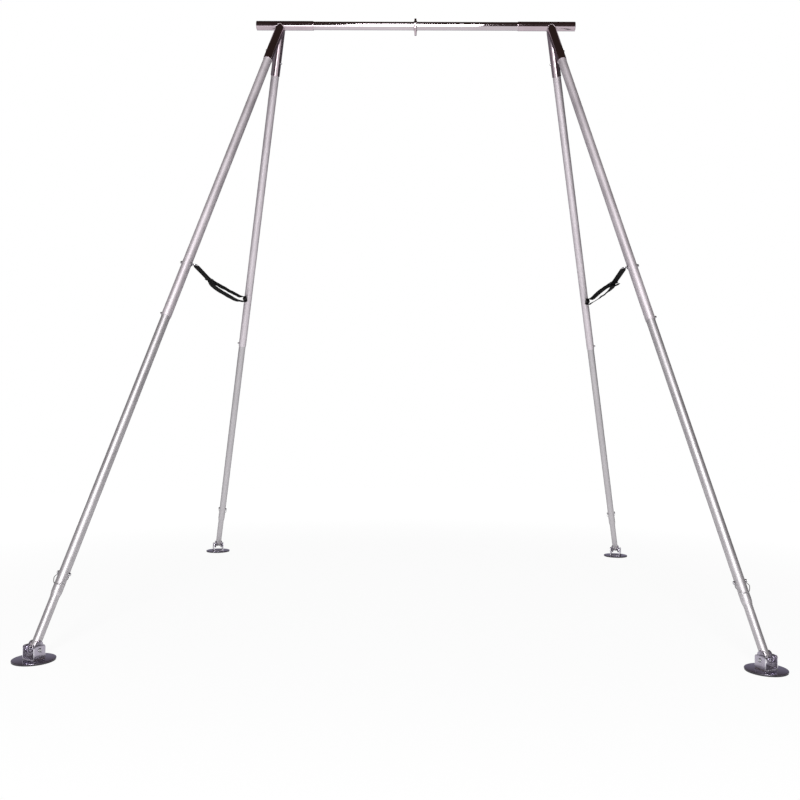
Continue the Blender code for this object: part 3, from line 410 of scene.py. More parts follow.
def make_webbing():
    """Black woven webbing: lengthwise yarns crossed by slanting ribs, from the ribbon's own metres, with
    painted highlights on the raised yarns and painted shade between them.
    """
    web = Surface("black_webbing")
    source = web.add("ShaderNodeUVMap", uv_map=WEBBING_MAP)
    across, along, _ = web.split(source.outputs["UV"])
    yarns = web.calculate("SINE", web.calculate("MULTIPLY", across, 2 * math.pi / YARN_PITCH))
    lean = web.calculate("ADD", along, web.calculate("MULTIPLY", across, 0.5))
    ribs = web.calculate("SINE", web.calculate("MULTIPLY", lean, 2 * math.pi / RIB_PITCH))
    height = web.calculate("ADD", web.calculate("MULTIPLY", yarns, ribs),
                           web.calculate("MULTIPLY", ribs, 0.6))
    fuzz = web.noise(web.place(), 1500.0, 3.0, 0.7)
    # Lighter where the weave is raised and darker in its dips: painted highlight and painted shade. The fuzz
    # is the yarn's own tone
    tone = web.calculate("ADD", web.spread(height, -1.6, 1.6, 0.0, 0.7), web.spread(fuzz, 0.3, 0.7, 0.0, 0.3))
    web.set(Base_Color=web.blend(tone, (0.0015, 0.0015, 0.0018), (0.0085, 0.008, 0.0085)))
    web.set(Roughness=0.9, Specular_IOR_Level=0.12)
    web.bump(height, 0.6, 0.0004)
    return web.material


def make_thread():
    thread = Surface("stitching_thread")
    twist = thread.noise(thread.place(), 2600.0, 2.0, 0.5)
    thread.set(Base_Color=thread.blend(twist, (0.008, 0.008, 0.009), (0.045, 0.043, 0.046)), Roughness=0.6)
    thread.bump(twist, 0.4, 0.0002)
    return thread.material


def plate_bottom():
    return PAD_THICKNESS + SEAT_GAP


def plate_top():
    return plate_bottom() + PLATE_THICKNESS


def make_plate_metal():
    """The foot discs' dark mirror plating, with a duller rim that is darker below its top edge."""
    metal = drawn_metal("foot_plate_chrome", ((0.50, 0.47, 0.56), (0.64, 0.61, 0.70)), 1.0, (0.06, 0.12),
                        260.0, 1.0)
    _, _, height = metal.split(metal.place())
    rim = metal.spread(height, plate_top() - 0.0012, plate_top() - 0.0002, 1.0, 0.0)
    plating = metal.shader.inputs["Base Color"].links[0].from_socket
    metal.set(Base_Color=metal.blend(rim, plating, (0.10, 0.09, 0.11)))
    polish = metal.shader.inputs["Roughness"].links[0].from_socket
    metal.set(Roughness=metal.calculate("ADD", polish, metal.calculate("MULTIPLY", rim, 0.35)))
    return metal.material


def make_bracket_metal():
    """The foot brackets' plated steel, with bare cut edges at both ends of the channel that carry a painted
    highlight.
    """
    metal = drawn_metal("foot_bracket_steel", ((0.36, 0.335, 0.40), (0.52, 0.48, 0.56)), 0.85,
                        (0.22, 0.34), 260.0, 1.0)
    _, _, along = metal.split(metal.place())
    end = CHANNEL_DEPTH / 2
    # Near-white band on the channel's end edges: bare cut steel with a painted highlight
    edge = metal.spread(metal.calculate("ABSOLUTE", along), end - 0.0010, end - 0.0003, 0.0, 1.0)
    plating = metal.shader.inputs["Base Color"].links[0].from_socket
    metal.set(Base_Color=metal.blend(edge, plating, (0.86, 0.84, 0.90)))
    return metal.material


def make_materials():
    bar = drawn_metal("crossbar_chrome", ((0.50, 0.44, 0.475), (0.62, 0.555, 0.59)), 1.0, (0.04, 0.08),
                      600.0, 40.0, 0.02)
    upper = drawn_metal("satin_upper_tube", ((0.70, 0.645, 0.69), (0.84, 0.787, 0.83)), 0.85, (0.56, 0.66),
                        600.0, 40.0)
    # The lower tubes are more neutral in hue. Their base is also set darker than the upper tubes' to hold
    # down the brighter light on them, which is painted shade
    lower = drawn_metal("satin_lower_tube_painted_shade", ((0.53, 0.507, 0.53), (0.66, 0.637, 0.66)), 0.85, (0.50, 0.60),
                        600.0, 40.0)
    # The dark edge tint paints shade along the tubes' edges by darkening their grazing reflections
    for tube in (upper, lower):
        tube.set(Specular_IOR_Level=0.3, Specular_Tint=GRAZING_SHADE_TINT)
    zinc = drawn_metal("zinc_fastener", ((0.36, 0.35, 0.37), (0.58, 0.57, 0.60)), 1.0, (0.20, 0.32),
                       700.0, 3.0)
    spring = drawn_metal("spring_steel_wire", ((0.46, 0.45, 0.47), (0.64, 0.63, 0.65)), 1.0, (0.24, 0.36),
                         700.0, 3.0)
    return {
        "bar": bar.material,
        "upper": upper.material,
        "lower": lower.material,
        "plate": make_plate_metal(),
        "bracket": make_bracket_metal(),
        "zinc": zinc.material,
        "spring": spring.material,
        "chrome": make_chrome(),
        "weld": make_weld(),
        "rubber": make_rubber(),
        "black": make_black("black_coated_wire", (0.10, 0.10, 0.10), 0.38),
        "knob": make_black("black_knob_plastic", (0.05, 0.05, 0.05), 0.45),
        "webbing": make_webbing(),
        "thread": make_thread(),
    }


MATERIALS = make_materials()


# Mesh helpers

def frame_matrix(origin, z_axis, x_hint):
    """A placement with its Z along z_axis and its X as near x_hint as it can be."""
    z_axis = z_axis.normalized()
    x_axis = (x_hint - z_axis * x_hint.dot(z_axis)).normalized()
    y_axis = z_axis.cross(x_axis)
    turn = Matrix((x_axis, y_axis, z_axis)).transposed()
    return Matrix.Translation(origin) @ turn.to_4x4()


def finish_mesh(mesh):
    shape = bmesh.new()
    shape.from_mesh(mesh)
    bmesh.ops.recalc_face_normals(shape, faces=shape.faces)
    shape.to_mesh(mesh)
    shape.free()
    mesh.shade_smooth()
    mesh.set_sharp_from_angle(angle=SMOOTH_ANGLE)
    return mesh


def make_mesh(name, points, faces):
    mesh = bpy.data.meshes.new(name)
    mesh.from_pydata([tuple(point) for point in points], [], faces)
    return finish_mesh(mesh)


def put(mesh, matrix):
    """A bare object of a mesh at a place in the world."""
    thing = bpy.data.objects.new(mesh.name, mesh)
    bpy.context.scene.collection.objects.link(thing)
    thing.matrix_world = matrix
    return thing


def settle(thing, material, body, *nodes):
    """Give a finished piece its material and body, and let it stand for CAD nodes."""
    thing.data.materials.clear()
    thing.data.materials.append(MATERIALS[material])
    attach(thing, body)
    if nodes:
        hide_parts(*nodes)
    return thing


def apply_modifier(piece, kind, **settings):
    """Change a piece's mesh for good with one modifier."""
    bpy.context.view_layer.update()
    modifier = piece.modifiers.new("change", kind)
    for name, value in settings.items():
        setattr(modifier, name, value)
    bpy.context.view_layer.update()
    graph = bpy.context.evaluated_depsgraph_get()
    mesh = bpy.data.meshes.new_from_object(piece.evaluated_get(graph))
    piece.modifiers.clear()
    mesh.name = piece.name
    piece.data = finish_mesh(mesh)
    return piece


def boolean(piece, tool, operation, solver="EXACT"):
    """Combine a piece with a tool for good, and remove the tool."""
    apply_modifier(piece, "BOOLEAN", operation=operation, solver=solver, object=tool)
    bpy.data.objects.remove(tool, do_unlink=True)
    return piece


def cut(piece, tool, solver="EXACT"):
    return boolean(piece, tool, "DIFFERENCE", solver)


def join(piece, tool, solver="EXACT"):
    return boolean(piece, tool, "UNION", solver)


def true_round(piece, *tubes):
    """Give the faces on round tubes the tubes' exact normals, so that what they mirror runs straight.

    A tube is a point on its axis, the axis and a radius, in the world."""
    place = piece.matrix_world
    turn = place.to_3x3()
    mesh = piece.data
    corners = [place @ vertex.co for vertex in mesh.vertices]
    normals = [Vector((0.0, 0.0, 0.0)) for _ in mesh.loops]
    for origin, axis, radius in tubes:
        arms = []
        for corner in corners:
            arm = corner - origin
            arms.append(arm - axis * arm.dot(axis))
        on_tube = [abs(arm.length - radius) < ROUND_TOLERANCE for arm in arms]
        for polygon in mesh.polygons:
            if not all(on_tube[index] for index in polygon.vertices):
                continue
            facing = turn @ polygon.normal
            if abs(facing.dot(axis)) > 0.1:
                continue
            for loop in polygon.loop_indices:
                arm = arms[mesh.loops[loop].vertex_index].normalized()
                if arm.dot(facing) < 0.0:
                    arm.negate()
                normals[loop] = turn.transposed() @ arm
    mesh.normals_split_custom_set(normals)


def arc_points(centre, radius, start, end, steps):
    points = []
    for step in range(steps + 1):
        angle = start + (end - start) * step / steps
        points.append((centre[0] + radius * math.cos(angle), centre[1] + radius * math.sin(angle)))
    return points


def eased(outline, size, closed, steps=3):
    """Round the corners of an outline of (x, y) points by a small size."""
    result = []
    count = len(outline)
    for index, corner in enumerate(outline):
        if not closed and index in (0, count - 1):
            result.append(corner)
            continue
        here = Vector(corner)
        before = Vector(outline[index - 1]) - here
        after = Vector(outline[(index + 1) % count]) - here
        reach = min(size, before.length * 0.45, after.length * 0.45)
        if before.length == 0.0 or after.length == 0.0 or before.angle(after) > math.radians(165):
            result.append(corner)
            continue
        start = here + before.normalized() * reach
        end = here + after.normalized() * reach
        for step in range(steps + 1):
            t = step / steps
            point = start * (1 - t) ** 2 + here * 2 * t * (1 - t) + end * t ** 2
            result.append((point.x, point.y))
    return result


def lathe(name, profile, sides=TUBE_SIDES):
    """Spin a profile of (radius, height) points about Z. One that doesn't touch Z is closed."""
    closed = profile[0][0] > 0.0
    points = []
    rings = []
    for radius, height in profile:
        if radius <= 0.0:
            rings.append([len(points)])
            points.append((0.0, 0.0, height))
            continue
        rings.append(list(range(len(points), len(points) + sides)))
        for side in range(sides):
            angle = 2 * math.pi * side / sides
            points.append((radius * math.cos(angle), radius * math.sin(angle), height))
    faces = []
    for ring, after in zip(rings, rings[1:] + (rings[:1] if closed else [])):
        for side in range(sides):
            corners = [ring[side % len(ring)], ring[(side + 1) % len(ring)],
                       after[(side + 1) % len(after)], after[side % len(after)]]
            face = list(dict.fromkeys(corners))
            if len(face) > 2:
                faces.append(face)
    return make_mesh(name, points, faces)


def tube_lines(radius, start, end, holes=()):
    """A straight tube's outline between two stations, with rings by its ends and holes for even shading."""
    stations = [start + HOLE_MARGIN, end - HOLE_MARGIN]
    for hole in holes:
        stations += [hole - HOLE_MARGIN, hole + HOLE_MARGIN]
    return [(radius, -station) for station in sorted(set(stations), reverse=True) if start < station < end]


def rod(name, radius, bottom, top, sides=SMALL_SIDES, edge=0.0):
    profile = [(0.0, bottom), (radius, bottom), (radius, top), (0.0, top)]
    if edge > 0.0:
        profile = eased(profile, edge, False)
    return lathe(name, profile, sides)


def torus(name, radius, wire_radius, sides=TUBE_SIDES, wire_sides=WIRE_SIDES):
    return lathe(name, arc_points((radius, 0.0), wire_radius, 0.0, 2 * math.pi, wire_sides)[:-1], sides)


def extrude(name, outline, bottom, top):
    """A closed outline in XY, extruded along Z."""
    count = len(outline)
    points = [(x, y, bottom) for x, y in outline] + [(x, y, top) for x, y in outline]
    faces = [list(range(count)), list(range(count, 2 * count))]
    for index in range(count):
        after = (index + 1) % count
        faces.append([index, after, count + after, count + index])
    return make_mesh(name, points, faces)


def soften(piece, width, steps=2):
    """Bevel the sharp edges for good."""
    return apply_modifier(piece, "BEVEL", width=width, segments=steps, limit_method="ANGLE",
                          angle_limit=math.radians(35), use_clamp_overlap=True)


def smooth_route(points, steps):
    """A smooth curve through the given points, as a list of points."""
    padded = [points[0] * 2 - points[1]] + points + [points[-1] * 2 - points[-2]]
    route = []
    for index in range(1, len(padded) - 2):
        before, start, end, after = padded[index - 1:index + 3]
        for step in range(steps):
            t = step / steps
            route.append(0.5 * (2 * start + (end - before) * t
                                + (2 * before - 5 * start + 4 * end - after) * t * t
                                + (3 * start - before - 3 * end + after) * t * t * t))
    route.append(points[-1])
    return route


def directions(route, closed):
    count = len(route)
    result = []
    for index in range(count):
        before = route[index - 1] if closed or index > 0 else route[0]
        after = route[(index + 1) % count] if closed or index < count - 1 else route[-1]
        result.append((after - before).normalized())
    return result


def resample(route, spacing, closed=False):
    """Points at even spacing along a route."""
    loop = route + route[:1] if closed else route
    lengths = [0.0]
    for start, end in zip(loop, loop[1:]):
        lengths.append(lengths[-1] + (end - start).length)
    count = max(2, round(lengths[-1] / spacing))
    result = []
    index = 0
    for step in range(count if closed else count + 1):
        target = lengths[-1] * step / count
        while index < len(loop) - 2 and lengths[index + 1] < target:
            index += 1
        span = lengths[index + 1] - lengths[index]
        share = 0.0 if span == 0.0 else (target - lengths[index]) / span
        result.append(loop[index].lerp(loop[index + 1], min(1.0, share)))
    return result


def loft(name, sections, closed):
    count = len(sections[0])
    points = [point for section in sections for point in section]
    faces = []
    total = len(sections)
    for row in range(total if closed else total - 1):
        after = (row + 1) % total
        for index in range(count):
            step = (index + 1) % count
            faces.append([row * count + index, row * count + step,
                          after * count + step, after * count + index])
    if not closed:
        faces.append(list(range(count)))
        faces.append(list(range((total - 1) * count, total * count)))
    return make_mesh(name, points, faces)


def wire(name, route, radius, closed, sides=WIRE_SIDES):
    """A round wire along a route. Its radius is a number, or a function of the way along."""
    sections = []
    side = (route[1] - route[0]).orthogonal().normalized()
    travelled = 0.0
    last = route[0]
    for point, along in zip(route, directions(route, closed)):
        travelled += (point - last).length
        last = point
        size = radius(travelled) if callable(radius) else radius
        side = (side - along * side.dot(along)).normalized()
        up = along.cross(side)
        sections.append([point + side * across + up * rise
                         for across, rise in arc_points((0.0, 0.0), size, 0.0, 2 * math.pi, sides)[:-1]])
    return loft(name, sections, closed)


def weld_bead(name, route, radius, closed, body, pitch=0.0024):
    """A weld bead along a route, with the ripples that its pool leaves."""
    points = resample(route, pitch / 6, closed)

    def ripple(travelled):
        wave = abs(math.sin(math.pi * travelled / pitch))
        drift = noise.noise(Vector((travelled * 90.0, 0.0, 0.0)))
        return radius * (0.80 + 0.22 * wave + 0.10 * drift)

    return settle(put(wire(name, points, ripple, closed, 10), Matrix.Identity(4)), "weld", body)


# Legs

class Leg:
    """One leg's axis, and the directions that its fittings are set by."""

    def __init__(self, end_name, side_name):
        self.name = end_name + "_" + side_name
        self.is_front = end_name == "front"
        self.side = SIDES[side_name]
        self.top = Vector((self.side * LEG_TOP_X, 0.0, BAR_HEIGHT))
        self.pivot = Vector((self.side * FOOT_X, ENDS[end_name] * FOOT_Y, PIVOT_HEIGHT))
        self.length = (self.pivot - self.top).length
        self.lower_end = self.length - FOOT_TUBE_SHOWN
        self.pin_station = self.lower_end - PIN_FROM_END
        self.up = (self.top - self.pivot).normalized()
        self.splay = (self.pivot - self.top)
        self.splay.z = 0.0
        self.splay.normalize()
        self.pivot_axis = Z_AXIS.cross(self.splay)
        self.outward = self.square_to(X_AXIS * self.side)
        self.upper_face = self.square_to(self.splay)
        self.foot = "foot_" + self.name

    def square_to(self, direction):
        return (direction - self.up * direction.dot(self.up)).normalized()

    def at(self, station):
        return self.top - self.up * station

    def along(self, mesh):
        """Stand a shape, built along Z from the crossbar's axis, on the leg's axis."""
        return put(mesh, frame_matrix(self.top, self.up, self.outward))

    def across(self, mesh, station, direction):
        """Lay a shape, built along Z, across the leg's axis."""
        return put(mesh, frame_matrix(self.at(station), direction, self.up))

    def on_foot(self, mesh):
        ground = Vector((self.pivot.x, self.pivot.y, 0.0))
        return put(mesh, frame_matrix(ground, Z_AXIS, self.splay))

    def drill(self, piece, station, direction, radius, start, end, solver="EXACT"):
        tool = rod("drill", radius + HOLE_GAP, start, end)
        return cut(piece, self.across(tool, station, direction), solver)

    def socket_button_direction(self):
        return self.outward if self.is_front else -self.outward

    def strap_station(self):
        return FRONT_STRAP_STATION if self.is_front else REAR_STRAP_STATION

    def strap_direction(self):
        if self.is_front:
            return -self.outward
        return self.square_to(Vector((self.side * math.sin(KNOB_TURN), -math.cos(KNOB_TURN), 0.0)))


# Crossbar group

def on_bar(mesh, x=0.0, towards=1, drop=0.0):
    """Lay a shape, built along Z, on the crossbar or below it."""
    return put(mesh, frame_matrix(Vector((x, 0.0, BAR_HEIGHT - drop)), X_AXIS * towards, Z_AXIS))


def bar_drill(piece, side_name, solver="EXACT"):
    origin = Vector((SIDES[side_name] * BAR_BUTTON_X, 0.0, BAR_HEIGHT))
    tool = rod("drill", BUTTON_RADIUS + HOLE_GAP, 0.0, 2 * BAR_RADIUS)
    return cut(piece, put(tool, frame_matrix(origin, Y_AXIS, Z_AXIS)), solver)


def make_crossbar():
    end = BAR_HALF_LENGTH - CAP_FLANGE - CAP_PLUG_LENGTH - SEAT_GAP
    inside = BAR_RADIUS - BAR_WALL
    profile = [(inside, -end), (BAR_RADIUS, -end), (BAR_RADIUS, end), (inside, end)]
    crossbar = on_bar(lathe("crossbar_tube", profile))
    for side_name in SIDES:
        bar_drill(crossbar, side_name)
    true_round(crossbar, (Vector((0.0, 0.0, BAR_HEIGHT)), X_AXIS, BAR_RADIUS))
    settle(crossbar, "bar", STAND, "crossbar")


def make_hanging_ring():
    half = RING_THICKNESS / 2
    seat = BAR_RADIUS + SEAT_GAP
    reach = half + 2 * RING_WELD
    ring = on_bar(rod("hanging_ring_plate", RING_RADIUS, -half, half, TUBE_SIDES, 0.0014), drop=RING_DROP)
    cut(ring, on_bar(rod("ring_bore", seat, -reach, reach, TUBE_SIDES)))
    cut(ring, on_bar(rod("ring_eye", EYE_RADIUS, -reach, reach, SMALL_SIDES), drop=EYE_DROP))
    lip = 0.0007
    flare = [(0.0, 0.0), (EYE_RADIUS - lip / 2, 0.0), (EYE_RADIUS + lip, lip * 2),
             (EYE_RADIUS + lip, lip * 4), (0.0, lip * 4)]
    for way in (-1, 1):
        flare_x = way * (half - lip * 1.5)
        cut(ring, on_bar(lathe("flare", flare, SMALL_SIDES), x=flare_x, towards=way, drop=EYE_DROP))
    settle(ring, "chrome", STAND, "hanging_ring")
    for way, label in ((-1, "left"), (1, "right")):
        route = []
        for step in range(TUBE_SIDES):
            angle = 2 * math.pi * step / TUBE_SIDES
            radius = seat + RING_WELD * 0.42
            route.append(Vector((way * (half + RING_WELD * 0.18), radius * math.sin(angle),
                                 BAR_HEIGHT + radius * math.cos(angle))))
        weld_bead("hanging_ring_weld_" + label, route, RING_WELD * 0.52, True, STAND)


def socket_radius(station):
    """Outside of a socket at a station: drawn in near the crossbar."""
    outside = UPPER_RADIUS + SLIDE_GAP + SOCKET_WALL
    top = BAR_RADIUS + SLIDE_GAP
    return top + (outside - top) * min(1.0, max(0.0, station) / SOCKET_TAPER)


def weld_route(leg, other, steps=96):
    """Where a socket's outside comes out of the sleeve and of the other socket."""
    sleeve = BAR_RADIUS + SLIDE_GAP + SLEEVE_WALL
    side = leg.up.cross(leg.outward)
    route = []
    for step in range(steps):
        angle = 2 * math.pi * step / steps
        around = leg.outward * math.cos(angle) + side * math.sin(angle)
        station = 0.0
        while station < SOCKET_LENGTH:
            point = leg.at(station) + around * socket_radius(station)
            from_bar = math.hypot(point.y, point.z - BAR_HEIGHT)
            down = (other.top - point).dot(other.up)
            from_other = (point - other.at(down)).length - socket_radius(down)
            if from_bar >= sleeve and from_other >= 0.0:
                break
            station += 0.00025
        route.append(point)
    return route


def make_connector(side_name, legs):
    side = SIDES[side_name]
    bore = UPPER_RADIUS + SLIDE_GAP
    outside = bore + SOCKET_WALL
    sleeve_bore = BAR_RADIUS + SLIDE_GAP
    sleeve_outside = sleeve_bore + SLEEVE_WALL
    sleeve_length = BAR_HALF_LENGTH - CAP_FLANGE - SEAT_GAP - SLEEVE_INNER_X
    profile = [(0.0, -SOCKET_LENGTH), (outside, -SOCKET_LENGTH), (outside, -SOCKET_TAPER),
               (sleeve_bore, 0.0), (0.0, 0.0)]
    profile = eased(profile, EDGE, False)
    connector = legs[0].along(lathe("connector_" + side_name, profile))
    join(connector, legs[1].along(lathe("socket", profile)), "MANIFOLD")
    for leg in legs:
        tool = rod("bore", bore, -SOCKET_LENGTH - outside, outside / 2, TUBE_SIDES)
        cut(connector, leg.along(tool), "MANIFOLD")
    sleeve = on_bar(rod("sleeve", sleeve_outside, 0.0, sleeve_length, TUBE_SIDES, EDGE),
                    x=side * SLEEVE_INNER_X, towards=side)
    join(connector, sleeve, "MANIFOLD")
    cut(connector, on_bar(rod("sleeve_bore", sleeve_bore, -outside, sleeve_length + outside, TUBE_SIDES),
                          x=side * SLEEVE_INNER_X, towards=side), "MANIFOLD")
    bar_drill(connector, side_name, "MANIFOLD")
    for leg in legs:
        leg.drill(connector, SOCKET_BUTTON_STATION, leg.socket_button_direction(), BUTTON_RADIUS, 0.0,
                  2 * outside, "MANIFOLD")
    true_round(connector, (Vector((0.0, 0.0, BAR_HEIGHT)), X_AXIS, sleeve_outside),
               *[(leg.top, leg.up, outside) for leg in legs])
    settle(connector, "chrome", STAND, "corner_connector_" + side_name)
    for leg, other in (legs, legs[::-1]):
        weld_bead("socket_weld_" + leg.name, weld_route(leg, other), SOCKET_BEAD, True, STAND)


def make_end_cap(side_name):
    side = SIDES[side_name]
    plug = BAR_RADIUS + SLIDE_GAP - SEAT_GAP
    flange = BAR_RADIUS + SLIDE_GAP + SLEEVE_WALL
    profile = [(0.0, CAP_FLANGE), (flange * 0.55, CAP_FLANGE - CAP_DOME * 0.2),
               (flange * 0.8, CAP_FLANGE - CAP_DOME * 0.6), (flange - EDGE, CAP_FLANGE - CAP_DOME),
               (flange, CAP_FLANGE - CAP_DOME - EDGE),
               (flange, 0.0), (plug, 0.0), (plug, -CAP_PLUG_LENGTH), (plug - BAR_WALL, -CAP_PLUG_LENGTH),
               (plug - BAR_WALL, 0.0), (0.0, 0.0)]
    cap = on_bar(lathe("bar_cap_" + side_name, profile), x=side * (BAR_HALF_LENGTH - CAP_FLANGE),
                 towards=side)
    settle(cap, "chrome", STAND, "end_cap_" + side_name)


# Leg tubes

def make_upper_leg(leg):
    inside = UPPER_RADIUS - UPPER_WALL
    holes = (SOCKET_BUTTON_STATION, LEG_BUTTON_STATION, leg.strap_station())
    profile = [(inside, -UPPER_END), (UPPER_RADIUS, -UPPER_END)]
    profile += tube_lines(UPPER_RADIUS, UPPER_START, UPPER_END, holes)
    profile += [(UPPER_RADIUS, -UPPER_START), (inside, -UPPER_START)]
    tube = leg.along(lathe("upper_tube_" + leg.name, eased(profile, EDGE, True)))
    reach = 2 * UPPER_RADIUS
    leg.drill(tube, SOCKET_BUTTON_STATION, leg.socket_button_direction(), BUTTON_RADIUS, 0.0, reach)
    leg.drill(tube, LEG_BUTTON_STATION, leg.outward, BUTTON_RADIUS, 0.0, reach)
    leg.drill(tube, leg.strap_station(), leg.strap_direction(), BOLT_RADIUS, -reach, reach)
    true_round(tube, (leg.top, leg.up, UPPER_RADIUS))
    settle(tube, "upper", STAND, "upper_leg_" + leg.name)


def make_lower_leg(leg):
    bore = LOWER_RADIUS - LOWER_WALL
    neck = FOOT_TUBE_RADIUS + SLIDE_GAP
    end = leg.lower_end
    bead = end - BEAD_FROM_END
    neck_start = bead + BEAD_HALF_WIDTH
    bead_start = bead - BEAD_HALF_WIDTH
    profile = [(bore, -LOWER_START), (LOWER_RADIUS, -LOWER_START)]
    profile += tube_lines(LOWER_RADIUS, LOWER_START, bead_start, (LEG_BUTTON_STATION, leg.pin_station))[::-1]
    profile.append((LOWER_RADIUS, -bead_start))
    for step in range(1, 6):
        share = step / 6
        profile.append((LOWER_RADIUS + BEAD_HEIGHT * math.sin(math.pi * share),
                        -bead + BEAD_HALF_WIDTH * (1 - 2 * share)))
    profile += [(LOWER_RADIUS, -neck_start), (LOWER_RADIUS, -end + NECK_LENGTH)]
    for step in range(1, 8):
        share = step / 8
        ease = share * share * (3 - 2 * share)
        radius = LOWER_RADIUS + (neck + NECK_LIP - LOWER_RADIUS) * ease
        profile.append((radius, -end + NECK_LENGTH * (1 - share)))
    profile += [(neck + NECK_LIP, -end), (neck, -end), (neck, -neck_start - bore + neck), (bore, -neck_start)]
    tube = leg.along(lathe("lower_tube_" + leg.name, profile))
    reach = 2 * LOWER_RADIUS
    leg.drill(tube, LEG_BUTTON_STATION, leg.outward, BUTTON_RADIUS, 0.0, reach)
    leg.drill(tube, leg.pin_station, leg.outward, PIN_RADIUS, -reach, reach)
    true_round(tube, (leg.top, leg.up, LOWER_RADIUS))
    settle(tube, "lower", STAND, "lower_leg_" + leg.name)


def make_foot_tube(leg):
    bore = FOOT_TUBE_RADIUS - FOOT_TUBE_WALL
    guide = LOWER_RADIUS - LOWER_WALL - SLIDE_GAP
    start = leg.lower_end - FOOT_TUBE_INSIDE
    end = leg.length - FOOT_TUBE_SHORT
    guide_end = start + GUIDE_LENGTH
    profile = [(bore, -end), (FOOT_TUBE_RADIUS, -end)]
    profile += tube_lines(FOOT_TUBE_RADIUS, guide_end, end - EAR_RISE, (leg.pin_station,))
    profile += [(FOOT_TUBE_RADIUS, -guide_end - guide + FOOT_TUBE_RADIUS), (guide, -guide_end),
                (guide, -start), (bore, -start)]
    tube = leg.along(lathe("foot_tube_" + leg.name + "_skin", eased(profile, EDGE, True)))
    leg.drill(tube, leg.pin_station, leg.outward, PIN_RADIUS, -LOWER_RADIUS, LOWER_RADIUS)
    ear_inside = FOOT_TUBE_RADIUS - WELD_OVERLAP
    ear_outside = ear_inside + EAR_THICKNESS
    boss_outside = CHANNEL_WIDTH / 2 - CHANNEL_WALL - SEAT_GAP
    outline = arc_points((0.0, 0.0), EAR_HALF_WIDTH, math.pi, 2 * math.pi, 16)
    outline += arc_points((0.0, EAR_RISE - EAR_HALF_WIDTH), EAR_HALF_WIDTH, 0.0, math.pi, 16)
    true_round(tube, (leg.top, leg.up, FOOT_TUBE_RADIUS))
    settle(tube, "lower", STAND, "foot_tube_" + leg.name)
    for way, label in ((-1, "a"), (1, "b")):
        axis = leg.pivot_axis * way
        matrix = frame_matrix(leg.pivot, axis, leg.up.cross(axis))
        ear = put(extrude("foot_ear_" + label + "_" + leg.name, outline, ear_inside, ear_outside), matrix)
        join(ear, put(rod("boss", BOSS_RADIUS, ear_outside - WELD_OVERLAP, boss_outside), matrix))
        cut(ear, put(rod("pivot_hole", PIVOT_RADIUS + HOLE_GAP, 0.0, CHANNEL_WIDTH), matrix))
        settle(soften(ear, EDGE), "bracket", STAND)
        route = []
        for angle in [math.pi * step / 24 for step in range(25)]:
            across = math.cos(angle) * (EAR_HALF_WIDTH + 0.0004)
            rise = EAR_RISE - EAR_HALF_WIDTH + math.sin(angle) * (EAR_HALF_WIDTH + 0.0004)
            rise += 0.0 if 0.0 < angle < math.pi else -0.012
            depth = math.sqrt(max(0.0, FOOT_TUBE_RADIUS ** 2 - across ** 2))
            route.append(leg.pivot + leg.up.cross(axis) * across + leg.up * rise + axis * depth)
        weld_bead("ear_weld_" + label + "_" + leg.name, route, 0.0015, False, STAND)


# Locks

def leaf_outline(seat):
    inner = seat - LEAF_THICKNESS
    bend = (inner - LEAF_BEND, LEAF_LENGTH - LEAF_BEND)
    far = bend[0] - LEAF_BEND - LEAF_SPREAD
    tip = bend[1] - LEAF_RETURN
    outside = arc_points(bend, LEAF_BEND + LEAF_THICKNESS, 0.0, math.pi, 16)
    inside = arc_points(bend, LEAF_BEND, math.pi, 0.0, 16)
    return ([(seat, -BUTTON_FLANGE)] + outside + [(far - LEAF_THICKNESS, tip), (far, tip)]
            + inside + [(inner, -BUTTON_FLANGE)])


def make_spring_button(name, node, body, origin, direction, up, bore, proud_to):
    flange_top = math.sqrt(bore ** 2 - BUTTON_FLANGE ** 2) - SEAT_GAP
    seat = flange_top - BUTTON_FLANGE_HEIGHT
    dome = BUTTON_RADIUS / 2
    profile = [(0.0, seat - LEAF_THICKNESS / 2), (BUTTON_FLANGE, seat - LEAF_THICKNESS / 2),
               (BUTTON_FLANGE, flange_top), (BUTTON_RADIUS, flange_top)]
    for step in range(9):
        angle = math.pi / 2 * step / 9
        profile.append((BUTTON_RADIUS * math.cos(angle), proud_to - dome + dome * math.sin(angle)))
    profile.append((0.0, proud_to))
    button = put(lathe(name, profile, SMALL_SIDES), frame_matrix(origin, direction, up))
    leaf = extrude("leaf", leaf_outline(seat), -LEAF_WIDTH / 2, LEAF_WIDTH / 2)
    join(button, put(leaf, frame_matrix(origin, direction.cross(up), direction)))
    settle(button, "zinc", body, node)


def make_buttons(legs):
    for side_name, side in SIDES.items():
        make_spring_button("bar_button_" + side_name, "crossbar_button_" + side_name,
                           "button_crossbar_" + side_name, Vector((side * BAR_BUTTON_X, 0.0, BAR_HEIGHT)),
                           Y_AXIS, X_AXIS * -side, BAR_RADIUS - BAR_WALL,
                           BAR_RADIUS + SLIDE_GAP + SLEEVE_WALL + BAR_BUTTON_PROUD)
    for leg in legs.values():
        make_spring_button("socket_stud_" + leg.name, "socket_button_" + leg.name,
                           "button_socket_" + leg.name, leg.at(SOCKET_BUTTON_STATION),
                           leg.socket_button_direction(), leg.up, UPPER_RADIUS - UPPER_WALL,
                           UPPER_RADIUS + SLIDE_GAP + SOCKET_WALL + SOCKET_BUTTON_PROUD)
        make_spring_button("leg_stud_" + leg.name, "leg_button_" + leg.name, "button_leg_" + leg.name,
                           leg.at(LEG_BUTTON_STATION), leg.outward, leg.up, LOWER_RADIUS - LOWER_WALL,
                           UPPER_RADIUS + LEG_BUTTON_PROUD)


def bail_seat():
    return LOWER_RADIUS + BAIL_WIRE + 2 * SEAT_GAP


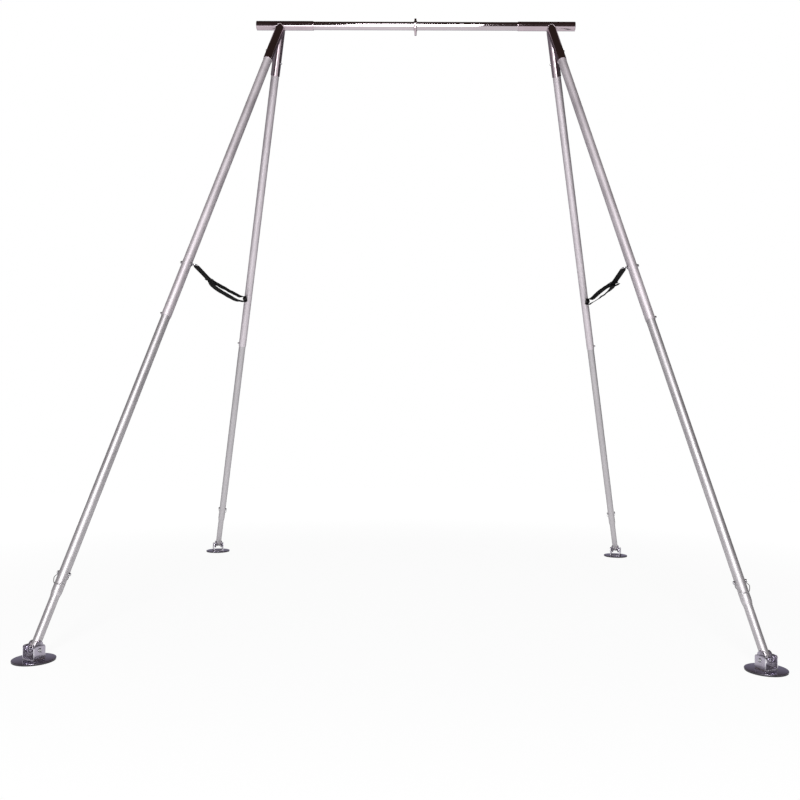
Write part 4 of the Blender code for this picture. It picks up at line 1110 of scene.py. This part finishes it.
def make_lock_pin(leg):
    shoulder = bail_seat() + BAIL_WIRE + SEAT_GAP
    top = shoulder + PIN_HEAD_HEIGHT
    upper = [(PIN_RADIUS, shoulder), (PIN_HEAD_RADIUS, shoulder), (PIN_HEAD_RADIUS, top - 0.0010),
             (PIN_HEAD_RADIUS - 0.0014, top), (0.0, top)]
    lower = [(radius, -height) for radius, height in reversed(upper)]
    pin = leg.across(lathe("cross_pin_" + leg.name, eased(lower + upper, EDGE, False, 2), SMALL_SIDES),
                     leg.pin_station, leg.outward)
    settle(pin, "zinc", STAND, "lock_pin_" + leg.name)


def make_bail(leg):
    """The wire bail: an eye on each end of the pin, and a bow over the leg's upper face."""
    eye = PIN_RADIUS + HOLE_GAP + BAIL_WIRE
    seat = bail_seat()
    hug = LOWER_RADIUS + BEAD_HEIGHT + BAIL_CLEAR + BAIL_WIRE
    bow = 1.0 if leg.upper_face.dot(leg.outward.cross(leg.up)) > 0.0 else -1.0
    half = [Vector((-eye, 0.0, seat)),
            Vector((-0.45 * BAIL_DROP, bow * 0.40 * hug, seat + BAIL_BULGE)),
            Vector((-0.82 * BAIL_DROP, bow * 0.80 * hug, seat - 0.15 * hug)),
            Vector((-BAIL_DROP, bow * hug, 0.45 * hug))]
    other = [Vector((point.x, point.y, -point.z)) for point in reversed(half)]
    route = smooth_route(half + [Vector((-BAIL_DROP, bow * (hug + BAIL_CLEAR), 0.0))] + other, 10)
    bail = leg.across(wire("wire_bail_" + leg.name, route, BAIL_WIRE, False), leg.pin_station, leg.outward)
    for way in (-1, 1):
        ring = leg.across(torus("bail_eye", eye, BAIL_WIRE, SMALL_SIDES), leg.pin_station, leg.outward)
        ring.matrix_world = ring.matrix_world @ Matrix.Translation((0.0, 0.0, way * seat))
        join(bail, ring)
    settle(bail, "spring", "bail_" + leg.name, "lock_bail_" + leg.name)


# Feet

def channel_outline():
    outer = CHANNEL_WIDTH / 2
    inner = outer - CHANNEL_WALL
    floor = plate_top() + CHANNEL_WALL
    bend = CHANNEL_BEND + CHANNEL_WALL
    right = arc_points((outer - bend, plate_top() + bend), bend, 1.5 * math.pi, 2 * math.pi, 8)
    right += [(outer, CHANNEL_TOP), (inner, CHANNEL_TOP)]
    right += arc_points((inner - CHANNEL_BEND, floor + CHANNEL_BEND), CHANNEL_BEND, 0.0, -math.pi / 2, 6)
    left = [(-x, y) for x, y in reversed(right)]
    return right + left


def upright_outline():
    half = CHANNEL_DEPTH / 2
    top = CHANNEL_TOP - CHANNEL_CORNER
    return ([(-half, 0.0), (half, 0.0)]
            + arc_points((half - CHANNEL_CORNER, top), CHANNEL_CORNER, 0.0, math.pi / 2, 8)
            + arc_points((-half + CHANNEL_CORNER, top), CHANNEL_CORNER, math.pi / 2, math.pi, 8))


def make_foot(leg):
    ground = Vector((leg.pivot.x, leg.pivot.y, 0.0))
    bracket = put(extrude("foot_bracket_" + leg.name, channel_outline(), -CHANNEL_DEPTH, CHANNEL_DEPTH),
                  frame_matrix(ground, leg.splay, Z_AXIS.cross(leg.splay)))
    boolean(bracket, put(extrude("uprights", upright_outline(), -CHANNEL_WIDTH, CHANNEL_WIDTH),
                         frame_matrix(ground, leg.splay.cross(Z_AXIS), leg.splay)), "INTERSECT")
    cut(bracket, put(rod("hole", PIVOT_RADIUS + HOLE_GAP, -CHANNEL_WIDTH, CHANNEL_WIDTH),
                     frame_matrix(leg.pivot, leg.pivot_axis, Z_AXIS)))
    soften(bracket, EDGE)
    settle(bracket, "bracket", leg.foot)
    bottom, top = plate_bottom(), plate_top()
    profile = [(0.0, bottom), (PLATE_RADIUS, bottom), (PLATE_RADIUS, top), (0.0, top)]
    disc = leg.on_foot(lathe("foot_disc_" + leg.name, eased(profile, 0.0016, False, 4), 96))
    settle(disc, "plate", leg.foot, "foot_plate_" + leg.name)
    for way, label in ((-1, "a"), (1, "b")):
        reach = CHANNEL_DEPTH / 2 - 0.002
        offset = way * (CHANNEL_WIDTH / 2 - 0.0012)
        middle = ground + leg.pivot_axis * offset + Z_AXIS * (plate_top() + 0.0008)
        route = [middle + leg.splay * (reach * share) for share in (-1.0, -0.5, 0.0, 0.5, 1.0)]
        weld_bead("foot_weld_" + label + "_" + leg.name, route, 0.0022, False, leg.foot)
    grooves = [(0.0, 0.0)]
    for radius in (0.012, 0.024, 0.036, 0.048, 0.060):
        grooves += [(radius, 0.0), (radius + 0.0008, 0.0008), (radius + 0.0022, 0.0008),
                    (radius + 0.0030, 0.0)]
    grooves += [(PAD_RADIUS - 0.0006, 0.0), (PAD_RADIUS, 0.0006), (PAD_RADIUS, PAD_THICKNESS - 0.0004),
                (PAD_RADIUS - 0.0004, PAD_THICKNESS), (0.0, PAD_THICKNESS)]
    pad = leg.on_foot(lathe("rubber_pad_" + leg.name, grooves, 96))
    settle(pad, "rubber", leg.foot, "foot_pad_" + leg.name)
    shoulder = CHANNEL_WIDTH / 2 + SEAT_GAP
    upper = [(PIVOT_RADIUS, shoulder), (PIVOT_HEAD_RADIUS * 0.96, shoulder)]
    for step in range(9):
        angle = math.pi / 2 * step / 9
        rise = 0.0003 + (PIVOT_HEAD_HEIGHT - 0.0003) * math.sin(angle)
        upper.append((PIVOT_HEAD_RADIUS * math.cos(angle), shoulder + rise))
    upper.append((0.0, shoulder + PIVOT_HEAD_HEIGHT))
    lower = [(radius, -height) for radius, height in reversed(upper)]
    pin = put(lathe("foot_rivet_" + leg.name, lower + upper, SMALL_SIDES),
              frame_matrix(leg.pivot, leg.pivot_axis, Z_AXIS))
    settle(pin, "zinc", leg.foot, "pivot_pin_" + leg.name)


# Strap bolts and knobs

def washer_top():
    return UPPER_RADIUS + WASHER_HEIGHT


def knob_seat():
    return washer_top() + WEBBING_THICKNESS + 2 * SEAT_GAP


def eye_middle(leg):
    reach = washer_top() + STRAP_EYE_WIRE + STRAP_EYE_RADIUS - WELD_OVERLAP
    return leg.at(leg.strap_station()) + leg.strap_direction() * reach


def make_strap_bolt(leg):
    direction = leg.strap_direction()
    station = leg.strap_station()
    end = washer_top() + STRAP_EYE_WIRE / 2 if leg.is_front else knob_seat() + 0.0077
    bolt = leg.across(rod("cross_bolt_" + leg.name, BOLT_RADIUS, -washer_top() - BOLT_HEAD_HEIGHT / 2, end),
                      station, direction)
    for way in (1, -1):
        washer = leg.across(rod("washer", WASHER_RADIUS, 0.0, washer_top(), SMALL_SIDES, EDGE), station,
                            direction * way)
        cut(washer, leg.along(rod("saddle", UPPER_RADIUS + SEAT_GAP, -UPPER_END, -UPPER_START, TUBE_SIDES)))
        join(bolt, washer)
    top = washer_top() + BOLT_HEAD_HEIGHT
    head = leg.across(rod("head", BOLT_HEAD_RADIUS, washer_top() - WELD_OVERLAP, top, 6), station, -direction)
    crown = [(0.0, 0.0), (BOLT_HEAD_RADIUS * 1.1, 0.0), (BOLT_HEAD_RADIUS * 1.1, top - 0.0012),
             (BOLT_HEAD_RADIUS * 0.84, top), (0.0, top)]
    boolean(head, leg.across(lathe("crown", crown, SMALL_SIDES), station, -direction), "INTERSECT")
    join(bolt, head)
    if leg.is_front:
        up = Z_AXIS - direction * Z_AXIS.dot(direction)
        ring = torus("eye_ring", STRAP_EYE_RADIUS, STRAP_EYE_WIRE)
        join(bolt, put(ring, frame_matrix(eye_middle(leg), up, direction)))
    settle(bolt, "zinc", STAND, "strap_bolt_" + leg.name)


def make_knob(leg):
    start = knob_seat()
    top = start + KNOB_HEIGHT
    bore = BOLT_RADIUS + HOLE_GAP
    rim = start + 0.0040
    profile = [(0.0, start + 0.0079), (bore, start + 0.0079), (bore, start), (KNOB_RADIUS - 0.0010, start),
               (KNOB_RADIUS, start + 0.0010), (KNOB_RADIUS, rim)]
    for angle in [math.pi / 2 * step / 12 for step in range(1, 12)]:
        profile.append((KNOB_RADIUS * math.cos(angle), rim + (top - rim) * math.sin(angle)))
    profile.append((0.0, top))
    mesh = lathe("round_knob_" + leg.name, profile, KNOB_FLUTES * 8)
    for vertex in mesh.vertices:
        radius = math.hypot(vertex.co.x, vertex.co.y)
        if radius > KNOB_RADIUS * 0.6:
            wave = 0.5 - 0.5 * math.cos(KNOB_FLUTES * math.atan2(vertex.co.y, vertex.co.x))
            share = (radius / KNOB_RADIUS - 0.6) / 0.4
            scale = 1.0 - KNOB_FLUTE_DEPTH / KNOB_RADIUS * wave * share
            vertex.co.x *= scale
            vertex.co.y *= scale
    knob = leg.across(finish_mesh(mesh), leg.strap_station(), leg.strap_direction())
    settle(knob, "knob", STAND, "strap_knob_" + leg.name)


# Straps

def strap_point(side_name, y, z):
    return Vector((SIDES[side_name] * (BUCKLE_X + STRAP_SPREAD * (y - BUCKLE_Y)), y, z))


def bend_round(side_name, y, z, radius, start, end, steps=12):
    return [strap_point(side_name, *point) for point in arc_points((y, z), radius, start, end, steps)]


def webbing(name, route, across, widths, closed, wander):
    """Woven webbing along a route: thin rounded edges, a slight cup and a slow wandering twist."""
    lengths = [0.0]
    for start, end in zip(route, route[1:]):
        lengths.append(lengths[-1] + (end - start).length)
    lower = [(-0.5, -0.28), (-0.46, -0.5), (-0.25, -0.5), (0.0, -0.5), (0.25, -0.5), (0.46, -0.5),
             (0.5, -0.28)]
    shape = lower + [(-x, -y) for x, y in lower]
    sections = []
    places = zip(route, directions(route, closed), across, widths, lengths)
    for point, along, side, width, travelled in places:
        side = (side - along * side.dot(along)).normalized()
        rise = along.cross(side)
        turn = wander(travelled)
        side, rise = (side * math.cos(turn) + rise * math.sin(turn),
                      rise * math.cos(turn) - side * math.sin(turn))
        cup = 0.0006 * noise.noise(Vector((travelled * 14.0, 3.1, len(name))))
        sections.append([point + side * (x * width) + rise * (y * WEBBING_THICKNESS + cup * (1 - 8 * x * x))
                         for x, y in shape])
    mesh = loft(name, sections, closed)
    layer = mesh.uv_layers.new(name=WEBBING_MAP)
    count = len(shape)
    spread = [x * WEBBING_WIDTH for x, y in shape]
    total = lengths[-1] + ((route[0] - route[-1]).length if closed else 0.0)
    for polygon in mesh.polygons:
        rows = [mesh.loops[index].vertex_index // count for index in polygon.loop_indices]
        for index in polygon.loop_indices:
            vertex = mesh.loops[index].vertex_index
            row = vertex // count
            length = lengths[row]
            if closed and row == 0 and max(rows) > 1:
                length = total
            layer.data[index].uv = (spread[vertex % count], length)
    return mesh


def make_front_strap(side_name, front):
    eye = eye_middle(front)
    half = WEBBING_THICKNESS / 2
    eye_bend = STRAP_EYE_WIRE + WEBBING_PLAY + half
    bar_bend = BUCKLE_ROD + WEBBING_PLAY + half
    hole = STRAP_EYE_RADIUS - STRAP_EYE_WIRE - WEBBING_PLAY
    eye_y = eye.y + math.sqrt(hole ** 2 - (WEBBING_IN_EYE / 2) ** 2) - half + eye_bend
    past_eye = eye.y + STRAP_EYE_RADIUS + half
    bar_y = BUCKLE_Y - BUCKLE_LENGTH / 2
    ply = (WEBBING_THICKNESS + WEBBING_WAIST) / 2
    top = []
    below = []
    steps = 24
    for step in range(steps + 1):
        share = step / steps
        y = past_eye + (bar_y - WEBBING_EASE - past_eye) * share
        ease = min(1.0, (y - past_eye) / WEBBING_EASE)
        spread = eye_bend + (ply - eye_bend) * ease * ease * (3 - 2 * ease)
        z = eye.z + (BUCKLE_Z - eye.z) * (y - eye_y) / (bar_y - eye_y)
        top.append(strap_point(side_name, y, z + spread))
        below.insert(0, strap_point(side_name, y, z - spread))
    at_eye = bend_round(side_name, eye_y, eye.z, eye_bend, 1.5 * math.pi, 0.5 * math.pi)
    at_bar = bend_round(side_name, bar_y, BUCKLE_Z, bar_bend, 0.5 * math.pi, -0.5 * math.pi)
    shift = eye.x - strap_point(side_name, eye_y, 0.0).x
    in_eye = front.strap_direction() * -front.side
    route = []
    across = []
    widths = []
    for point in at_eye + top + at_bar + below:
        share = min(1.0, (bar_y - point.y) / (bar_y - eye_y))
        route.append(point + X_AXIS * shift * max(0.0, share))
        away = min(1.0, max(0.0, (point.y - past_eye - half) / WEBBING_EASE))
        across.append(in_eye.lerp(X_AXIS, away))
        widths.append(WEBBING_IN_EYE + (WEBBING_WIDTH - WEBBING_IN_EYE) * away * away * (3 - 2 * away))
    mesh = webbing("front_webbing_" + side_name, route, across, widths, True, lambda travelled: 0.0)
    strap = settle(put(mesh, Matrix.Identity(4)), "webbing", STAND, "strap_front_" + side_name)
    add_stitches("front_stitching_" + side_name, top, X_AXIS * SIDES[side_name], shift, eye_y, bar_y)


def add_stitches(name, top, side, shift, eye_y, bar_y):
    """Rows of stitches through the two plies of a front strap: a box with a cross near the buckle."""
    def surface(y, x):
        before = max(index for index, point in enumerate(top) if point.y <= y or index == 0)
        after = min(before + 1, len(top) - 1)
        span = top[after].y - top[before].y
        share = 0.0 if span == 0.0 else (y - top[before].y) / span
        point = top[before].lerp(top[after], share)
        point = point + X_AXIS * shift * min(1.0, (bar_y - y) / (bar_y - eye_y))
        return point + side * x + Z_AXIS * (WEBBING_THICKNESS / 2)

    end = top[-1].y - 0.004
    start = end - 0.034
    half = WEBBING_WIDTH / 2 - 0.003
    lines = [((start, -half), (end, -half)), ((end, -half), (end, half)), ((end, half), (start, half)),
             ((start, half), (start, -half)), ((start, -half), (end, half)), ((start, half), (end, -half))]
    far = top[0].y + 0.034
    lines += [((far, -half + 0.002), (far, half - 0.002)), ((far + 0.006, -half), (far + 0.006, half))]
    points = []
    faces = []
    stitch, skip, thread = 0.0026, 0.0006, 0.00045
    for (y_start, x_start), (y_end, x_end) in lines:
        length = math.hypot(y_end - y_start, x_end - x_start)
        count = max(1, round(length / (stitch + skip)))
        for index in range(count):
            ends = [(index + 0.08) / count, (index + 0.92) / count]
            spots = []
            for share in (ends[0], (ends[0] * 3 + ends[1]) / 4, (ends[0] + ends[1]) / 2,
                          (ends[0] + ends[1] * 3) / 4, ends[1]):
                y = y_start + (y_end - y_start) * share
                x = x_start + (x_end - x_start) * share
                rise = thread * math.sin(math.pi * (share - ends[0]) / (ends[1] - ends[0]))
                spots.append(surface(y, x) + Z_AXIS * rise)
            base = len(points)
            for spot, along in zip(spots, directions(spots, False)):
                flank = along.cross(Z_AXIS).normalized()
                for across, rise in arc_points((0.0, 0.0), thread, 0.0, 2 * math.pi, 6)[:-1]:
                    points.append(spot + flank * across + Z_AXIS * rise)
            for row in range(len(spots) - 1):
                for corner in range(6):
                    step = (corner + 1) % 6
                    faces.append([base + row * 6 + corner, base + row * 6 + step,
                                  base + (row + 1) * 6 + step, base + (row + 1) * 6 + corner])
            faces.append([base + corner for corner in range(6)])
            faces.append([base + (len(spots) - 1) * 6 + corner for corner in range(6)])
    settle(put(make_mesh(name, points, faces), Matrix.Identity(4)), "thread", STAND)


def knob_bend(rear):
    direction = rear.strap_direction()
    clamp = rear.at(rear.strap_station()) + direction * (washer_top() + SEAT_GAP + WEBBING_THICKNESS / 2)
    rise = (Z_AXIS - direction * Z_AXIS.dot(direction)).normalized()
    turn = KNOB_RADIUS + KNOB_LOOP_PLAY + WEBBING_THICKNESS / 2
    upper = [clamp + rise * turn + direction * (KNOB_HEIGHT + WEBBING_THICKNESS),
             clamp + rise * turn + direction * WEBBING_WAIST, clamp + rise * (turn - WEBBING_WAIST)]
    lower = [clamp - rise * (turn - WEBBING_WAIST), clamp - rise * turn + direction * WEBBING_WAIST,
             clamp - rise * turn + direction * (KNOB_HEIGHT + WEBBING_THICKNESS)]
    return upper + lower, rise.cross(direction)


def make_rear_strap(side_name, rear):
    at_bar = bend_round(side_name, BUCKLE_Y + BUCKLE_LENGTH / 2, BUCKLE_Z,
                        BUCKLE_ROD + WEBBING_PLAY + WEBBING_THICKNESS / 2, 1.5 * math.pi, 0.5 * math.pi)
    at_knob, in_knob = knob_bend(rear)
    upper = [strap_point(side_name, y, z) for y, z in UPPER_STRAND[side_name]]
    lower = [strap_point(side_name, y, z) for y, z in LOWER_STRAND[side_name]]
    there = smooth_route([at_bar[-1]] + upper + [at_knob[0]], 14)
    back = smooth_route([at_knob[-1]] + lower + [at_bar[0]], 14)
    route = at_bar[:-1] + there + at_knob[1:-1] + back[:-1]
    across = []
    for point in route:
        near = min(1.0, max(0.0, 1.0 - (at_knob[0].y - point.y) / (2 * WEBBING_WIDTH)))
        across.append(X_AXIS.lerp(in_knob, near))
    seed = 11.0 if side_name == "left" else 23.0
    leans = STRAND_LEANS[side_name]
    ends = [sum((b - a).length for a, b in zip(at_bar, at_bar[1:]))]
    reach = sum((b - a).length for a, b in zip(there, there[1:]))
    ends.append(ends[0] + reach)

    def wander(travelled):
        """The strands lean and wander between their ends, where they are held flat."""
        if travelled <= ends[0]:
            return 0.0
        strand = 0 if travelled <= ends[1] else 1
        share = (travelled - ends[strand] - strand * KNOB_WRAP) / reach
        held = math.sin(math.pi * share) ** 0.3 if 0.0 < share < 1.0 else 0.0
        return held * (leans[strand] + STRAND_WANDER * noise.noise(Vector((travelled * 9.0, seed, 0.0))))

    mesh = webbing("rear_webbing_" + side_name, route, across, [WEBBING_WIDTH] * len(route), True, wander)
    strap = put(mesh, Matrix.Identity(4))
    rear.drill(strap, rear.strap_station(), rear.strap_direction(), BOLT_RADIUS, UPPER_RADIUS,
               knob_seat() + WEBBING_THICKNESS)
    settle(strap, "webbing", STAND, "strap_rear_" + side_name)
    return strap


def make_tail(side_name):
    """The strap's free end, below the buckle: it twists a little and narrows to a tip."""
    route = smooth_route([strap_point(side_name, y, z) for y, z in TAIL_ROUTE], 8)
    count = len(route)
    widths = [TAIL_WIDTH if index < count - 10 else TAIL_WIDTH * (0.06 + 0.94 * (count - 1 - index) / 9)
              for index in range(count)]
    mesh = webbing("strap_tail_" + side_name, route, [X_AXIS] * count, widths, False,
                   lambda travelled: TAIL_TWIST * min(1.0, travelled / 0.12) ** 2)
    tail = settle(put(mesh, Matrix.Identity(4)), "webbing", STAND)


def make_buckle(side_name):
    half_length = BUCKLE_LENGTH / 2 - BUCKLE_CORNER
    half_width = BUCKLE_WIDTH / 2 - BUCKLE_CORNER
    middle = strap_point(side_name, BUCKLE_Y, BUCKLE_Z)
    route = []
    for quarter, (x_side, y_side) in enumerate(((1, 1), (-1, 1), (-1, -1), (1, -1))):
        start = quarter * math.pi / 2
        corner = arc_points((x_side * half_width, y_side * half_length), BUCKLE_CORNER,
                            start, start + math.pi / 2, 8)
        route += [middle + Vector((x, y, 0.0)) for x, y in corner]
    buckle = put(wire("wire_buckle_" + side_name, route, BUCKLE_ROD, True), Matrix.Identity(4))
    settle(buckle, "black", STAND, "strap_buckle_" + side_name)


# Camera, light and floor

def make_camera():
    data = bpy.data.cameras.new("camera")
    data.sensor_width = SENSOR
    data.lens = FOCAL_PIXELS * SENSOR / IMAGE_SIZE
    data.shift_x = (IMAGE_SIZE / 2 - PRINCIPAL_X) / IMAGE_SIZE
    data.shift_y = (PRINCIPAL_Y - IMAGE_SIZE / 2) / IMAGE_SIZE
    data.clip_start = 0.05
    data.clip_end = 100.0
    camera = bpy.data.objects.new("camera", data)
    bpy.context.scene.collection.objects.link(camera)
    turn = (Matrix.Rotation(CAMERA_YAW, 4, "Z") @ Matrix.Rotation(CAMERA_PITCH, 4, "X")
            @ Matrix.Rotation(CAMERA_ROLL, 4, "Y") @ Matrix.Rotation(math.pi / 2, 4, "X"))
    camera.matrix_world = Matrix.Translation(CAMERA_PLACE) @ turn
    bpy.context.scene.camera = camera


def make_world():
    """White to the eye. Mirrors see the studio: dark in front and above, paler at the sides and the back."""
    world = bpy.data.worlds.new("studio")
    bpy.context.scene.world = world
    world.use_nodes = True
    graph = Graph(world.node_tree)
    graph.tree.nodes.clear()
    source = graph.add("ShaderNodeTexCoord")
    x, y, z = graph.split(source.outputs["Generated"])
    around = graph.blend(graph.spread(y, -0.2, 0.6, 0.0, 1.0, "SMOOTHSTEP"), ROOM_FRONT, ROOM_BACK)
    around = graph.blend(graph.spread(x, -0.9, -0.25, 1.0, 0.0, "SMOOTHSTEP"), around, ROOM_LEFT)
    around = graph.blend(graph.spread(x, 0.3, 0.9, 0.0, 1.0, "SMOOTHSTEP"), around, ROOM_RIGHT)
    room = graph.blend(graph.spread(z, 0.15, 0.50, 0.0, 1.0, "SMOOTHSTEP"), around, ROOM_CEILING)
    seen, mirrored = graph.seen_rays()
    shown = graph.add("ShaderNodeBackground")
    graph.feed(graph.blend(mirrored, WHITE, room), shown.inputs["Color"])
    light = graph.add("ShaderNodeBackground")
    graph.feed(WHITE, light.inputs["Color"])
    graph.feed(SKY_LIGHT, light.inputs["Strength"])
    mix = graph.add("ShaderNodeMixShader")
    graph.link(seen, mix.inputs["Fac"])
    graph.link(light.outputs[0], mix.inputs[1])
    graph.link(shown.outputs[0], mix.inputs[2])
    output = graph.add("ShaderNodeOutputWorld")
    graph.link(mix.outputs[0], output.inputs["Surface"])


def make_floor():
    """Round pale paper that keeps the object's shadow and fades into the white background."""
    rim = arc_points((0.0, 0.0), FLOOR_RADIUS, 0.0, 2 * math.pi, 96)[:-1]
    mesh = make_mesh("floor", [(x, y, 0.0) for x, y in rim], [list(range(len(rim)))])
    floor = put(mesh, Matrix.Identity(4))
    paper = Surface("floor_paper")
    grain = paper.noise(paper.place(), 60.0, 4.0, 0.6)
    paper.set(Base_Color=paper.blend(grain, (0.48, 0.48, 0.48), (0.54, 0.54, 0.54)), Roughness=1.0,
              Specular_IOR_Level=0.0)
    source = paper.add("ShaderNodeTexCoord")
    distance = paper.add("ShaderNodeVectorMath", operation="LENGTH")
    paper.link(source.outputs["Object"], distance.inputs[0])
    fade = paper.spread(distance.outputs["Value"], FADE_START, FADE_END, FLOOR_GLOW, 1.0, "SMOOTHSTEP")
    glow = paper.add("ShaderNodeEmission")
    paper.feed(FLOOR_WHITE, glow.inputs["Strength"])
    mix = paper.add("ShaderNodeMixShader")
    seen, _ = paper.seen_rays()
    paper.link(paper.calculate("MULTIPLY", seen, fade), mix.inputs["Fac"])
    paper.link(paper.shader.outputs[0], mix.inputs[1])
    paper.link(glow.outputs[0], mix.inputs[2])
    paper.link(mix.outputs[0], paper.tree.nodes["Material Output"].inputs["Surface"])
    mesh.materials.append(paper.material)


def make_lamp(name, place, target, size, power, mirrored=True):
    data = bpy.data.lights.new(name, "AREA")
    data.shape = "RECTANGLE"
    data.size = size[0]
    data.size_y = size[1]
    data.energy = power
    lamp = bpy.data.objects.new(name, data)
    bpy.context.scene.collection.objects.link(lamp)
    lamp.location = place
    lamp.rotation_euler = (Vector(target) - Vector(place)).to_track_quat("-Z", "Y").to_euler()
    lamp.visible_glossy = mirrored


def make_lights():
    make_lamp("tall_softbox", (-0.22, -7.6, 2.9), (-0.22, 0.0, 2.9), (1.77, 5.6), 100.0)
    make_lamp("key", (-0.15, -6.0, 4.2), (0.0, 0.0, 1.4), (1.5, 1.8), 272.0)
    make_lamp("low_panel", (-0.55, -5.0, 0.5), (0.0, 1.2, 1.3), (2.2, 1.3), 52.0)
    make_lamp("back", (-1.5, 4.8, 3.6), (0.0, 0.0, 1.4), (2.4, 2.4), 55.0, False)


def main():
    make_camera()
    make_world()
    make_floor()
    make_lights()
    legs = {}
    for side_name in SIDES:
        for end_name in ENDS:
            leg = Leg(end_name, side_name)
            legs[leg.name] = leg
    make_crossbar()
    make_hanging_ring()
    make_buttons(legs)
    for side_name in SIDES:
        front = legs["front_" + side_name]
        rear = legs["rear_" + side_name]
        make_connector(side_name, [front, rear])
        make_end_cap(side_name)
        make_knob(rear)
        make_buckle(side_name)
        make_front_strap(side_name, front)
        make_rear_strap(side_name, rear)
    make_tail("right")
    for leg in legs.values():
        make_upper_leg(leg)
        make_lower_leg(leg)
        make_foot_tube(leg)
        make_lock_pin(leg)
        make_bail(leg)
        make_strap_bolt(leg)
        make_foot(leg)


main()

bpy.context.scene.view_settings.view_transform = "Standard"
